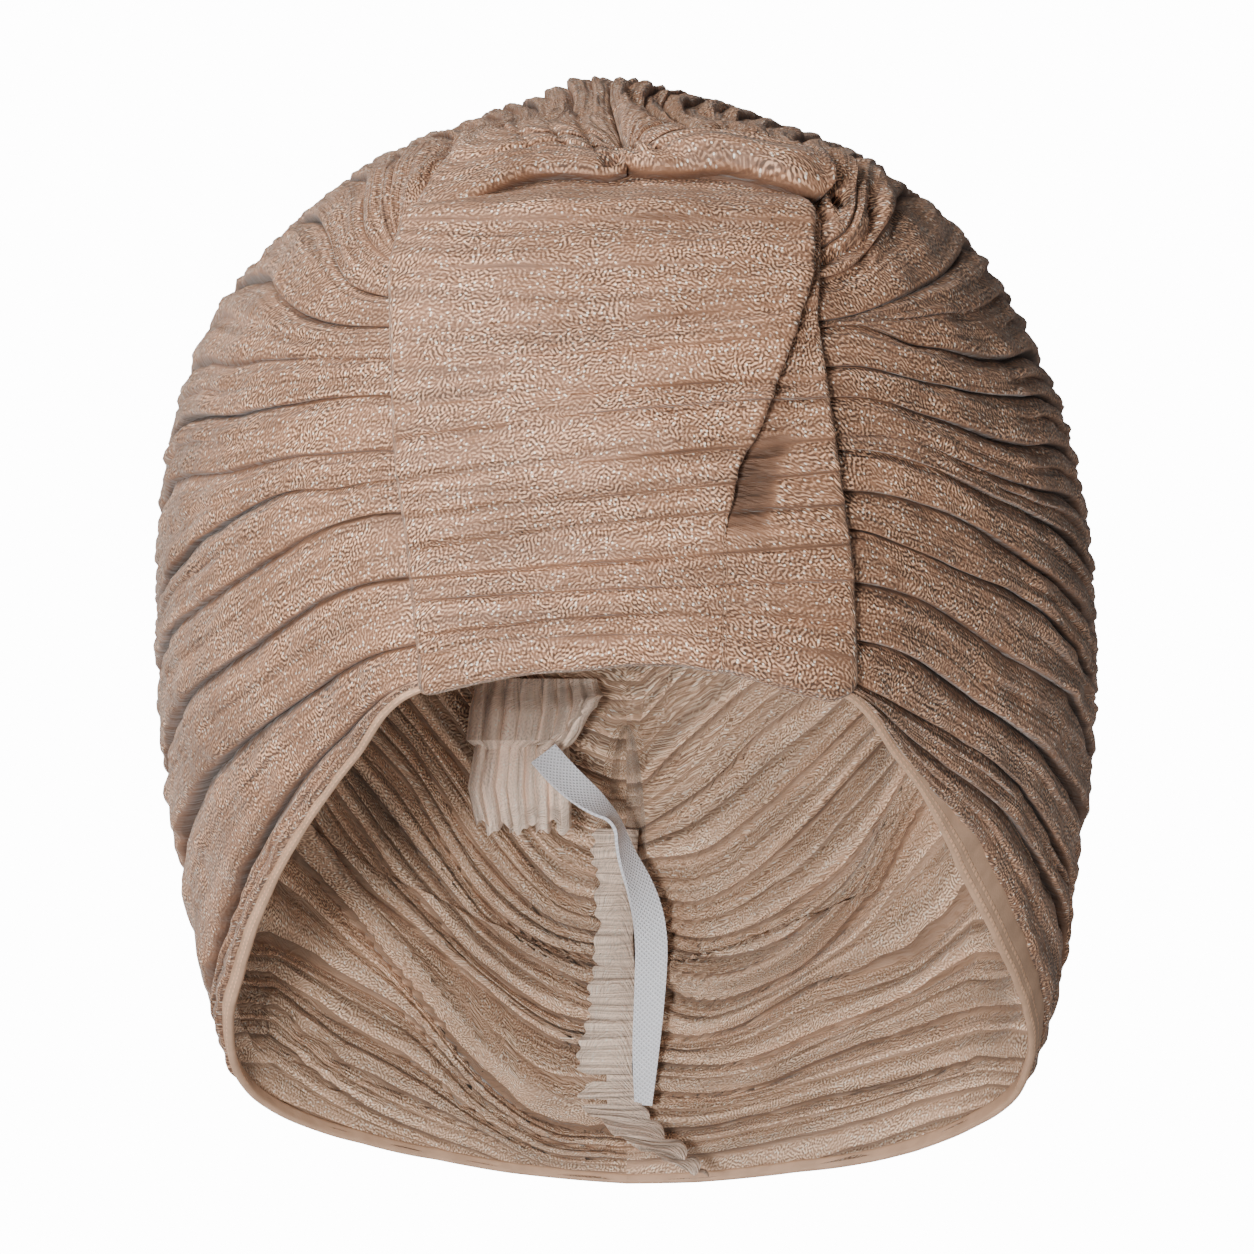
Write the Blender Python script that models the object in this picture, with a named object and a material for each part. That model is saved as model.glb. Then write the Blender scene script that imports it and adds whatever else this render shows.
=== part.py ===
"""A pleated turban hat: two pleated halves of cloth, a wide band over the gathered front,
a turned rim hem, and inside at the back a gathered seam with its elastic tape.

The face looks towards -Y and +Z is up. Left and right are as seen from the front.
The origin is where the top of a head touches the inside of the crown.
Table sizes are millimetres; MM turns them into Blender's metres.
"""

import math
from collections import namedtuple

import bmesh
import bpy
import numpy as np
from mathutils import Vector
from mathutils.bvhtree import BVHTree

MM = 0.001
CLOTH = 1.8  # one pleated wall, two layers of knit
CLEARANCE = 0.4  # between neighbouring pieces
SEAM_HALF_GAP = 0.2  # each half stops this far from the centre plane

RIM_LEVEL = -173.0  # height of the sloping rim plane where it crosses y = 0
RIM_SLOPE = -0.57

# One row per cross-section of the left or right half, from the centre front round to the
# centre back. rim, wide and top are where the arch starts, where it is widest and where it
# meets the centre seam; box makes its shoulder squarer; pleat is how deep the pleats are;
# hem is the height of the turned hem; crowd packs the pleats towards the rim.
Section = namedtuple(
    "Section", "rim_x rim_y wide_x wide_y wide_z top_y top_z box pleat hem crowd"
)
SECTIONS = (
    Section(0, -103, 0, -105, -74, -76, -15, 2.6, 1.2, 3, 1.15),
    Section(39, -96, 45, -95, -73, -68, -9, 2.8, 2.0, 3, 1.12),
    Section(54, -70, 74, -68, -82, -50, -3, 2.4, 3.2, 4, 1.05),
    Section(69, -34, 90, -32, -97, -24, 3, 2.0, 3.6, 6, 1.0),
    Section(79, 2, 95, 6, -108, 5, 5, 1.98, 3.8, 7, 1.0),
    Section(84, 37, 95, 42, -128, 36, 1, 2.0, 3.8, 7, 1.0),
    Section(76, 63, 84, 70, -146, 62, -16, 2.0, 3.4, 6, 1.0),
    Section(47, 82, 54, 91, -162, 85, -50, 2.1, 2.8, 4, 1.0),
    Section(0, 88, 0, 98, -178, 97, -128, 2.2, 2.0, 4, 1.0),
)
LAST = len(SECTIONS) - 1

# The two halves differ a little: the left one is fuller at the shoulder.
Fullness = namedtuple("Fullness", "raise_widest extra_box")
FULLNESS = {-1: Fullness(7.0, 0.18), 1: Fullness(-3.0, 0.0)}

# One row per pleat, from the rim up: start is the valley's place between the rim (0) and
# the centre seam (1), depth is the valley's depth as a share of the section's pleat.
Pleat = namedtuple("Pleat", "start depth")
PLEATS = {
    -1: (
        Pleat(0.0, 0.3), Pleat(0.045, 1.0), Pleat(0.1, 0.5), Pleat(0.15, 1.0),
        Pleat(0.205, 0.5), Pleat(0.25, 0.8), Pleat(0.3, 0.9), Pleat(0.345, 0.5),
        Pleat(0.385, 0.9), Pleat(0.435, 0.6), Pleat(0.48, 0.9), Pleat(0.53, 0.6),
        Pleat(0.585, 1.0), Pleat(0.635, 1.0), Pleat(0.695, 0.7), Pleat(0.75, 0.6),
        Pleat(0.81, 0.7), Pleat(0.87, 0.5), Pleat(0.93, 0.6), Pleat(1.0, 0.5),
    ),
    1: (
        Pleat(0.0, 0.3), Pleat(0.05, 1.0), Pleat(0.1, 0.9), Pleat(0.15, 0.6),
        Pleat(0.195, 0.9), Pleat(0.24, 0.6), Pleat(0.29, 0.9), Pleat(0.335, 0.8),
        Pleat(0.38, 1.0), Pleat(0.43, 0.8), Pleat(0.475, 0.7), Pleat(0.52, 0.8),
        Pleat(0.57, 1.0), Pleat(0.625, 0.8), Pleat(0.68, 0.7), Pleat(0.735, 0.6),
        Pleat(0.8, 0.8), Pleat(0.87, 0.6), Pleat(0.935, 0.5), Pleat(1.0, 0.5),
    ),
}
CREST = 0.26  # where a pleat is highest, as a share of its width
PLEAT_SAMPLES = (0.0, CREST, 0.66)
PLEAT_CURVE = 1.7  # how the cloth rounds off from a crest to the next valley

# One row per gathered fold over the band's top edge. It runs from section u0, place v0 to
# section u1, place v1, with its height and half width in millimetres.
Fold = namedtuple("Fold", "side u0 v0 u1 v1 height half_width")
ARCH_LENGTH = 130.0  # about how far it is from the rim to the seam over the front
STATION_LENGTH = 45.0  # about how far apart two sections lie
FOLDS = (
    Fold(-1, 0.0, 0.98, 0.75, 0.83, 4.0, 4.0),
    Fold(1, 0.0, 1.02, 0.95, 0.79, 6.5, 4.2),
)

# The band's outline on the front, from its tucked top edge down to the face edge.
BandRow = namedtuple("BandRow", "z left right")
BAND = (
    BandRow(-25, -31, 33),
    BandRow(-30, -41, 37.5),
    BandRow(-40, -43.5, 35.5),
    BandRow(-48, -43, 34),
    BandRow(-70, -42.3, 38),
    BandRow(-94, -40.5, 41.8),
    BandRow(-112, -38.5, 42.4),
)
BAND_THICK = 2.4
BAND_RETURN = 24.0  # how far the band goes up again inside the face edge
BAND_PLEATS = 15
BAND_RIDGE = 1.2
BAND_CREST = 0.72  # where a band pleat is highest, as a share of its height from the top
BAND_GAP = 0.6
DEEPEST_FRONT_PLEAT = 2.5  # how far the crown's pleats reach inwards behind the band
BAND_FOLD = 2.2  # extra height of the upper layer, left of its slanting fold
FOLD_TOP = (37.0, -27.0)  # x, z of the slanting fold's two ends
FOLD_FOOT = (22.0, -80.0)
FOLD_FADE = 25.0  # how far over its foot the fold has its full height

TAPE_THICK = 1.0
# The elastic's own path, from the gathered end down to the nape; turn is the angle
# in degrees that its flat side has turned away from the face.
TapeRow = namedtuple("TapeRow", "x y z turn width")
TAPE = (
    TapeRow(-18.5, 81.8, -132, 25, 6.5),
    TapeRow(-11, 78.5, -140, 40, 7),
    TapeRow(-3, 79.0, -145.5, 80, 7),
    TapeRow(1, 81.5, -153, 60, 7),
    TapeRow(6, 83.5, -168, 5, 7),
    TapeRow(7, 84, -183, 0, 6.5),
    TapeRow(4.5, 83, -198, 0, 5.5),
    TapeRow(3.5, 83.1, -209, 0, 4),
)

TAN = (0.50, 0.35, 0.26)
TAN_INSIDE = (0.58, 0.43, 0.34)
CREAM = (0.76, 0.62, 0.52)
WHITE = (0.80, 0.81, 0.88)


def smooth(share):
    """Ease a share from 0 to 1 with level ends."""
    share = min(max(share, 0.0), 1.0)
    return share * share * (3 - 2 * share)


def section_at(side, place):
    """The section of one half at a fractional place, by a smooth curve through the rows.
    Past the centre front and back the rows go on mirrored, so both halves meet smoothly."""

    def row(index):
        mirrored = index < 0 or index > LAST
        index = -index if index < 0 else index
        index = 2 * LAST - index if index > LAST else index
        values = np.array(SECTIONS[index], float)
        if mirrored:
            values[[0, 2]] *= -1
        return values

    first = int(math.floor(place))
    t = place - first
    a, b, c, d = (row(first + step) for step in (-1, 0, 1, 2))
    bend = 2 * a - 5 * b + 4 * c - d
    twist = -a + 3 * b - 3 * c + d
    section = Section(*(b + 0.5 * t * (c - a + t * (bend + t * twist))))
    full = FULLNESS[side]
    share = math.sin(math.pi * min(max(place / LAST, 0.0), 1.0))
    return section._replace(
        wide_z=section.wide_z + full.raise_widest * share,
        box=section.box + full.extra_box * share,
    )


def rim_height(y):
    return RIM_LEVEL + RIM_SLOPE * y


ARCH_STEPS = 24


def arch(side, place):
    """The section's outline from the rim over the widest point to the centre seam."""
    s = section_at(side, place)
    rise = np.linspace(0, 1, ARCH_STEPS, endpoint=False)
    rim_z = rim_height(s.rim_y) + s.hem
    lower = np.stack(
        [
            s.wide_x - (s.wide_x - s.rim_x) * (1 - rise) ** 2,
            s.rim_y + (s.wide_y - s.rim_y) * rise,
            rim_z + (s.wide_z - rim_z) * rise,
        ],
        axis=1,
    )
    turn = np.linspace(0, math.pi / 2, 2 * ARCH_STEPS)
    across = np.clip(np.cos(turn), 0, 1) ** (2 / s.box)
    up = np.sin(turn) ** (2 / s.box)
    upper = np.stack(
        [
            s.wide_x * across,
            s.wide_y + (s.top_y - s.wide_y) * up ** 3,
            s.wide_z + (s.top_z - s.wide_z) * up,
        ],
        axis=1,
    )
    return np.concatenate([lower, upper])


def form_point(side, place, height):
    """A point of the smooth form, on the +X side whichever half it is for.
    Place is the section, and height runs from the rim to the centre seam."""
    line = arch(side, place)
    length = np.concatenate([[0], np.cumsum(np.linalg.norm(np.diff(line, axis=0), axis=1))])
    target = length[-1] * max(height, 0.0) ** section_at(side, place).crowd
    return np.array([np.interp(target, length, line[:, axis]) for axis in range(3)])


INSIDE = np.array([0.0, 0.0, -95.0])  # a point in the middle of the hollow


def on_seam(place, height):
    """Whether a place lies on the centre plane, where the two halves meet."""
    return height > 0.999 or place < 0.001 or place > LAST - 0.001


def form_normal(side, place, height):
    """The form's outward direction there, level with the centre plane on the seam."""
    small = 0.02
    low, high = max(height - small, 0.0), min(height + small, 1.0)
    along = form_point(side, place + small, height) - form_point(side, place - small, height)
    up = form_point(side, place, high) - form_point(side, place, low)
    normal = np.cross(along, up)
    normal /= np.linalg.norm(normal)
    if np.dot(normal, form_point(side, place, height) - INSIDE) < 0:
        normal = -normal
    if on_seam(place, height):
        normal[0] = 0.0
        normal /= np.linalg.norm(normal)
    return normal


def pleat_sink(side, height):
    """How far the cloth lies under its crests there, as a share of the pleat depth."""
    rows = PLEATS[side]
    index = max(i for i in range(len(rows) - 1) if rows[i].start <= height or i == 0)
    low, high = rows[index], rows[index + 1]
    share = (height - low.start) / (high.start - low.start)
    if share < CREST:
        return low.depth * (1 - smooth(share / CREST))
    return high.depth * ((share - CREST) / (1 - CREST)) ** PLEAT_CURVE


def fold_rise(side, place, height):
    """The extra height of the gathered folds at that place."""
    rise = 0.0
    for fold in FOLDS:
        if fold.side != side:
            continue
        share = (place - fold.u0) / (fold.u1 - fold.u0)
        if not -0.6 < share < 1.5:
            continue
        here = min(max(share, 0.0), 1.0)
        line = fold.v0 + (fold.v1 - fold.v0) * here
        off = (height - line) * ARCH_LENGTH / fold.half_width
        past = (share - here) * (fold.u1 - fold.u0) * STATION_LENGTH / fold.half_width
        rise += fold.height * math.exp(-off * off - past * past)
    return rise


def crown_point(side, place, height, layer):
    """A point of one crown half; layer is 0 on the outside and 1 on the inside."""
    section = section_at(side, place)
    lift = fold_rise(side, place, height) - section.pleat * pleat_sink(side, height)
    normal = form_normal(side, place, height)
    point = form_point(side, place, height) + normal * (lift - CLOTH * layer)
    point[0] = SEAM_HALF_GAP if on_seam(place, height) else max(point[0], SEAM_HALF_GAP)
    point[0] *= side
    return point


def cloth_sheet(name, along, across, place, material, smooth_angle=40):
    """A closed sheet of cloth. A flat grid is extruded into two layers, and
    place(share along, share across, layer) then says where each vertex lies in mm."""
    mesh = bpy.data.meshes.new(name)
    bm = bmesh.new()
    bmesh.ops.create_grid(bm, x_segments=along, y_segments=across, size=1)
    wall = bmesh.ops.extrude_face_region(bm, geom=bm.faces[:], use_keep_orig=True)
    second = [item for item in wall["geom"] if isinstance(item, bmesh.types.BMVert)]
    bmesh.ops.translate(bm, verts=second, vec=(0, 0, 1))
    for vert in bm.verts:
        share_along = round((vert.co.x + 1) / 2 * along) / along
        share_across = round((vert.co.y + 1) / 2 * across) / across
        vert.co = Vector(place(share_along, share_across, round(vert.co.z))) * MM
    bmesh.ops.recalc_face_normals(bm, faces=bm.faces[:])
    if bm.calc_volume(signed=True) < 0:
        bmesh.ops.reverse_faces(bm, faces=bm.faces[:])
    bm.to_mesh(mesh)
    bm.free()
    mesh.shade_smooth()
    mesh.set_sharp_from_angle(angle=math.radians(smooth_angle))
    mesh.materials.append(material)
    piece = bpy.data.objects.new(name, mesh)
    return piece


def cloth_material(name, colour, roughness):
    material = bpy.data.materials.new(name)
    material.use_nodes = True
    shader = material.node_tree.nodes["Principled BSDF"]
    shader.inputs["Base Color"].default_value = (*colour, 1)
    shader.inputs["Roughness"].default_value = roughness
    shader.inputs["Metallic"].default_value = 0.0
    return material


# The places of a crown half's grid lines, closer together where the cloth bends more.
STATIONS = (0, 0.35, 0.7, 1.05, 1.5, 2, 2.5, 3, 3.6, 4.2, 4.8, 5.4, 6, 6.5, 7, 7.5, 8)


def crown_half(name, side, material):
    """One pleated half, from the centre front round the side to the centre back."""
    rows = PLEATS[side]
    heights = [
        low.start + share * (high.start - low.start)
        for low, high in zip(rows, rows[1:])
        for share in PLEAT_SAMPLES
    ] + [1.0]
    along, across = len(STATIONS) - 1, len(heights) - 1

    def place(share_along, share_across, layer):
        station = STATIONS[round(share_along * along)]
        return crown_point(side, station, heights[round(share_across * across)], layer)

    return cloth_sheet(name, along, across, place, material)


HEM_ALONG = 26
HEM_ACROSS = 3
HEM_HALF_THICK = 1.5
HEM_GAP = 0.75  # between a hem and the pleats over it


def rim_hem(name, side, start, material):
    """The turned hem under one half's lower edge, from beside the band to the centre back."""

    def place(share_along, share_across, layer):
        u = start + (LAST - start) * share_along
        section = section_at(side, u)
        normal = form_normal(side, u, 0.0)
        down = form_point(side, u, 0.0) - form_point(side, u, 0.03)
        down /= np.linalg.norm(down)
        depth = section.hem * share_across
        belly = math.sqrt(max(1 - (2 * share_across - 1) ** 2, 0.0))
        half = HEM_HALF_THICK * (0.35 + 0.65 * belly)
        inset = section.pleat * 0.15 + CLOTH / 2
        point = form_point(side, u, 0.0) + down * (HEM_GAP + depth) - normal * inset
        point += normal * (half if layer == 0 else -half)
        if share_along > 0.999:
            point[0] = SEAM_HALF_GAP
        point[0] = max(point[0], SEAM_HALF_GAP) * side
        return point

    return cloth_sheet(name, HEM_ALONG, HEM_ACROSS, place, material)


def form_tree(first, last):
    """The smooth form between two sections as a search tree, for laying pieces on it."""
    steps_along, steps_up = 36, 60
    points, faces = [], []
    for side in (-1, 1):
        start = len(points)
        for i in range(steps_along + 1):
            for j in range(steps_up + 1):
                place = first + (last - first) * i / steps_along
                point = form_point(side, place, j / steps_up)
                point[0] *= side
                points.append(point)
        for i in range(steps_along):
            for j in range(steps_up):
                a = start + i * (steps_up + 1) + j
                b = a + steps_up + 1
                faces.append((a, b, b + 1, a + 1))
    return BVHTree.FromPolygons([tuple(p) for p in points], faces)


def band_outline(z):
    """The band's left and right edge at a height."""
    rows = BAND[::-1]
    heights = [row.z for row in rows]
    left = np.interp(z, heights, [row.left for row in rows])
    right = np.interp(z, heights, [row.right for row in rows])
    return left, right


BAND_FRONT_STEPS = 2 * BAND_PLEATS
BAND_WRAP_STEPS = 6
BAND_RETURN_STEPS = 3
BAND_ACROSS = 10
BAND_FOLD_COLUMN = 7  # the grid column that runs down the slanting fold


def band_x(z, column):
    """Where a column of the band crosses a height. One column follows the slanting fold."""
    left, right = band_outline(z)
    fold_x = np.interp(z, (FOLD_FOOT[1], FOLD_TOP[1]), (FOLD_FOOT[0], FOLD_TOP[0]))
    fold_x = min(fold_x, right - 3.0)
    knots = (0, BAND_FOLD_COLUMN - 1, BAND_FOLD_COLUMN, BAND_ACROSS)
    return np.interp(column, knots, (left, fold_x - 0.4, fold_x + 0.8, right))


def front_band(material):
    """The wide band: down the front, round the face edge, and up again inside."""
    tree = form_tree(0, 3)
    rim_line = [form_point(1, 1.5 * i / 30, 0.0) for i in range(31)]
    rim_x = [point[0] for point in rim_line]
    rim_z = [point[2] for point in rim_line]
    steps = BAND_FRONT_STEPS + BAND_WRAP_STEPS + BAND_RETURN_STEPS
    half = BAND_THICK / 2
    front_off = BAND_GAP + half
    inner_off = -(CLOTH + DEEPEST_FRONT_PLEAT + BAND_GAP + half)
    wrap_radius = (front_off - inner_off) / 2

    def on_form(x, z):
        hit, normal, _, _ = tree.ray_cast(Vector((x, -300, z)), Vector((0, 1, 0)))
        if hit is None:
            hit, normal, _, _ = tree.find_nearest(Vector((x, -100, z)))
        normal = np.array(normal)
        return np.array(hit), normal if normal[1] < 0 else -normal

    def place(share_along, share_across, layer):
        step = round(share_along * steps)
        column = round(share_across * BAND_ACROSS)
        edge_z = np.interp(abs(band_x(BAND[-1].z, column)), rim_x, rim_z)
        out = half if layer == 0 else -half
        if step <= BAND_FRONT_STEPS:
            on_crest = step % 2
            share = (step // 2 + BAND_CREST * on_crest) / BAND_PLEATS
            z = BAND[0].z + (edge_z - BAND[0].z) * share
            base, normal = on_form(band_x(z, column), z)
            fade = smooth((z - FOLD_FOOT[1]) / FOLD_FADE)
            upper = BAND_FOLD * fade * (column < BAND_FOLD_COLUMN)
            lift = (BAND_RIDGE * on_crest + upper) if layer == 0 else 0.0
            return base + normal * (front_off + out + lift)
        x = band_x(edge_z, column)
        base, normal = on_form(x, edge_z + 0.5)
        if step <= BAND_FRONT_STEPS + BAND_WRAP_STEPS:
            turn = math.pi * (step - BAND_FRONT_STEPS) / BAND_WRAP_STEPS
            off = front_off - wrap_radius + (wrap_radius + out) * math.cos(turn)
            drop = (wrap_radius + out) * math.sin(turn)
            return base + normal * off + np.array([0, 0, -drop])
        rise = BAND_RETURN * (step - BAND_FRONT_STEPS - BAND_WRAP_STEPS) / BAND_RETURN_STEPS
        base, normal = on_form(x, edge_z + 0.5 + rise)
        return base + normal * (inner_off - out)

    return cloth_sheet("front_band", steps, BAND_ACROSS, place, material, smooth_angle=20)


ALLOWANCE_WIDTH = 9.0
ALLOWANCE_THICK = 1.4
ALLOWANCE_RIPPLE = 1.3
ALLOWANCE_FOLDS = 8
ALLOWANCE_FOOT = 0.02  # where it starts and ends, as shares of the back seam
ALLOWANCE_TOP = 0.78
ALLOWANCE_LEAN = 2.5  # how far its free edge leans off the wall
ALLOWANCE_KICK = (7.0, -0.6, 0.0)  # how far its foot swings to the right
ALLOWANCE_ALONG = 32


def seam_allowance(material):
    """The gathered raw edge inside the back seam, lying over to the left."""
    inner = CLOTH + SECTIONS[LAST].pleat + CLEARANCE

    def place(share_along, share_across, layer):
        height = ALLOWANCE_FOOT + (ALLOWANCE_TOP - ALLOWANCE_FOOT) * share_along
        root = form_point(-1, LAST, height) - form_normal(-1, LAST, height) * inner
        ripple = ALLOWANCE_RIPPLE * math.sin(2 * math.pi * ALLOWANCE_FOLDS * share_along)
        flare = 1 - smooth(share_along / 0.22)
        width = ALLOWANCE_WIDTH * (0.75 + 0.25 * math.cos(9 * share_along))
        point = root + np.array(ALLOWANCE_KICK) * flare
        point += np.array([-width, -ALLOWANCE_LEAN, 0]) * share_across
        point[1] += ripple * share_across - (ALLOWANCE_THICK if layer == 0 else 0)
        return point

    return cloth_sheet("seam_allowance", ALLOWANCE_ALONG, 2, place, material)


# One row per level of the gathered end, from its seat on the back wall down to its raw
# edge: out is how far it stands off the wall. The upper tier ends where out falls back.
EndRow = namedtuple("EndRow", "z out centre width")
END = (
    EndRow(-117, 0.0, -19, 24),
    EndRow(-123, 3.5, -18, 27),
    EndRow(-129, 6.5, -17.5, 28),
    EndRow(-130.5, 3.0, -19, 23),
    EndRow(-140, 5.5, -20, 25),
    EndRow(-149, 8.5, -20, 27),
)
END_FOLDS = 6
END_RIPPLE = 1.8
END_THICK = 1.4
END_ACROSS = 4 * END_FOLDS


def gathered_end(material):
    """The pale gathered end of the cloth, in two tiers, sewn to the back wall at its top."""
    tree = form_tree(6, LAST)

    def wall_y(x, z):
        hit, _, _, _ = tree.ray_cast(Vector((x, 0, z)), Vector((0, 1, 0)))
        return hit[1]

    seat = CLOTH + SECTIONS[LAST].pleat + END_RIPPLE * 0.4

    def place(share_along, share_across, layer):
        row = END[round(share_along * (len(END) - 1))]
        x = row.centre + row.width * (share_across - 0.5)
        ripple = END_RIPPLE * math.sin(2 * math.pi * END_FOLDS * share_across)
        grown = 0.4 + 0.6 * smooth(row.out / 4)
        y = wall_y(x, row.z) - seat - row.out + ripple * grown
        return np.array([x, y - (END_THICK if layer == 0 else 0), row.z])

    return cloth_sheet("gathered_end", len(END) - 1, END_ACROSS, place, material)


TAPE_ALONG = 24


def elastic_tape(material):
    """The white elastic, a flat ribbon that turns over once near its top."""
    knots = np.linspace(0, 1, len(TAPE))
    columns = np.array(TAPE, float)

    def centre(share):
        return np.array([np.interp(share, knots, column) for column in columns.T])

    def place(share_along, share_across, layer):
        row = sum(centre(min(max(share_along + step, 0), 1)) for step in (-0.04, 0, 0.04)) / 3
        ahead = centre(min(share_along + 0.03, 1))[:3] - centre(max(share_along - 0.03, 0))[:3]
        ahead /= np.linalg.norm(ahead)
        side = np.cross(ahead, (0, 1, 0))
        side /= np.linalg.norm(side)
        face = np.cross(side, ahead)
        turn = math.radians(row[3])
        flat = side * math.cos(turn) + face * math.sin(turn)
        out = np.cross(flat, ahead)
        point = row[:3] + flat * row[4] * (share_across - 0.5)
        return point + out * TAPE_THICK * (0.5 if layer == 0 else -0.5)

    return cloth_sheet("elastic_tape", TAPE_ALONG, 1, place, material)


def clear_scene():
    for item in list(bpy.data.objects):
        bpy.data.objects.remove(item, do_unlink=True)


def main():
    clear_scene()
    cloth = cloth_material("pleated_cloth", TAN, 0.75)
    hem = cloth_material("hem_cloth", TAN_INSIDE, 0.75)
    pale = cloth_material("raw_cloth", CREAM, 0.85)
    white = cloth_material("white_elastic", WHITE, 0.8)
    collection = bpy.data.collections.new("pleated_turban_hat")
    bpy.context.scene.collection.children.link(collection)
    pieces = (
        crown_half("crown_left", -1, cloth),
        crown_half("crown_right", 1, cloth),
        front_band(cloth),
        rim_hem("rim_hem_left", -1, 1.05, hem),
        rim_hem("rim_hem_right", 1, 1.2, hem),
        seam_allowance(pale),
        gathered_end(pale),
        elastic_tape(white),
    )
    for piece in pieces:
        collection.objects.link(piece)


main()
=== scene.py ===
"""A pleated turban hat of shimmering knit, shown as worn.

Two pleated halves meet in a gathered seam over the top and down the back. A wide pleated
band lies over the gathered front, with a slanting fold near its right edge. A turned hem
runs round the face and nape, and inside at the back are the gathered seam allowance, the
frilled end of the cloth and an elastic tape.

The face looks towards -Y and +Z is up. Left and right are as seen from the front. Tables
are in millimetres, and MM turns them into metres.
"""

import math
from collections import namedtuple

import bmesh
import bpy
import numpy as np
from bpy.props import FloatProperty, FloatVectorProperty, PointerProperty
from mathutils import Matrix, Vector, noise
from mathutils.bvhtree import BVHTree


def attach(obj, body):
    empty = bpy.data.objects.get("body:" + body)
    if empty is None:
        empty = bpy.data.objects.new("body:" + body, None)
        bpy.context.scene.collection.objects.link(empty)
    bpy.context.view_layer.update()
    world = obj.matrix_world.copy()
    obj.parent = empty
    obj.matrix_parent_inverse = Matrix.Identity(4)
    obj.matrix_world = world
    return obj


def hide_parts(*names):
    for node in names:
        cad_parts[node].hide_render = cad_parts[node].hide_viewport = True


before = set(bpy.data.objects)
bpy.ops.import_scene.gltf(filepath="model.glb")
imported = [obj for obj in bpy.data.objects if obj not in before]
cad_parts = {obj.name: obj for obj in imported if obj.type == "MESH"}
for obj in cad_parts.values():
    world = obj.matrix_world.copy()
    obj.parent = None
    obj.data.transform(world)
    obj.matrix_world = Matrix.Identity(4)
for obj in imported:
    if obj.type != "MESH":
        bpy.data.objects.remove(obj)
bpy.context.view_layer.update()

bl_info = {
    "name": "Pleated Turban Hat",
    "version": (1, 0, 0),
    "blender": (4, 5, 0),
    "location": "View3D > Sidebar > Turban Hat",
    "description": "Dresses the packed turban hat in pleated knit, hems, frills and elastic",
    "category": "Add Mesh",
}

MM = 0.001

# The smooth form.

RIM_LEVEL = -173.0  # height of the sloping rim plane where it crosses y = 0
RIM_SLOPE = -0.57

# One row per cross-section of a half, from the centre front round to the centre back. Each
# gives where its arch starts at the rim, is widest and meets the centre seam, how square
# its shoulder is, how deep its pleats are, and how crowded they are towards the rim.
Section = namedtuple("Section", "rim_x rim_y wide_x wide_y wide_z top_y top_z box pleat crowd")
SECTIONS = (
    Section(0, -103, 0, -105, -74, -76, -15, 2.6, 1.2, 1.15),
    Section(39, -96, 45, -95, -73, -68, -9, 2.8, 2.0, 1.12),
    Section(54, -70, 74, -68, -82, -50, -3, 2.4, 3.2, 1.05),
    Section(69, -34, 90, -32, -97, -24, 3, 2.0, 3.6, 1.0),
    Section(79, 2, 95, 6, -108, 5, 5, 1.98, 3.8, 1.0),
    Section(84, 37, 95, 42, -128, 36, 1, 2.0, 3.8, 1.0),
    Section(76, 63, 84, 70, -146, 62, -16, 2.0, 3.4, 1.0),
    Section(47, 82, 54, 91, -162, 85, -50, 2.1, 2.8, 1.0),
    Section(0, 88, 0, 98, -178, 97, -128, 2.2, 2.0, 1.0),
)
LAST = len(SECTIONS) - 1
MIRRORED_COLUMNS = (Section._fields.index("rim_x"), Section._fields.index("wide_x"))

# How much of the hem shows under the pleats, by place.
HEM_PLACES = (0, 2.3, 3.1, 4.8, 5.8, 8)
HEM_SHOWN = {-1: (1.2, 1.3, 1.6, 3.4, 2.0, 0.5), 1: (1.2, 1.6, 6.4, 7.0, 2.4, 0.5)}

# The left half is fuller at the shoulder.
Fullness = namedtuple("Fullness", "raise_widest extra_box")
FULLNESS = {-1: Fullness(7.0, 0.18), 1: Fullness(-3.0, 0.0)}

HOLLOW_MIDDLE = np.array([0.0, 0.0, -95.0])

# Small corrections of the crown's outline, by x: how far the cloth over the top, and the
# cloth at the nape, lie above the plain sections.
TOP_TRIM_X = (-95, -89, -81, -73, -57, -41, -33, -17, -9, 0, 7, 15, 31, 47, 55, 63, 79, 87, 95)
TOP_TRIM_Z = (
    2, 2, 0.6, -3, -4.2, -4.4, -5.2, -3.6, -1, -0.8, -1.8, -2.8, -3.6, -1.5, -1, 1.2, 2.6, 3.6, 3.6,
)
NAPE_TRIM_X = (-80, -57, -41, -25, 0, 15, 35, 60, 80)
NAPE_TRIM_Z = (1.0, 1.8, 1.4, 0, -1.5, -1.5, -0.7, -0.8, 0)
LOW_RIGHT_BULGE = 2.8  # how much fuller the right half is beside the nape

EYE_DISTANCE = 1500.0  # from the origin to the camera
EYE_HEIGHT = -106.0
LOWER_STEPS = 24
UPPER_STEPS = 64


def smooth(share):
    """Ease a share from 0 to 1 with level ends."""
    share = np.clip(share, 0.0, 1.0)
    return share * share * (3 - 2 * share)


def section_row(index):
    """A row of the table. Past its ends the rows go on mirrored, so the halves meet smoothly."""
    mirrored = index < 0 or index > LAST
    index = abs(index)
    index = 2 * LAST - index if index > LAST else index
    values = np.array(SECTIONS[index], float)
    if mirrored:
        values[list(MIRRORED_COLUMNS)] *= -1
    return values


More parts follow.
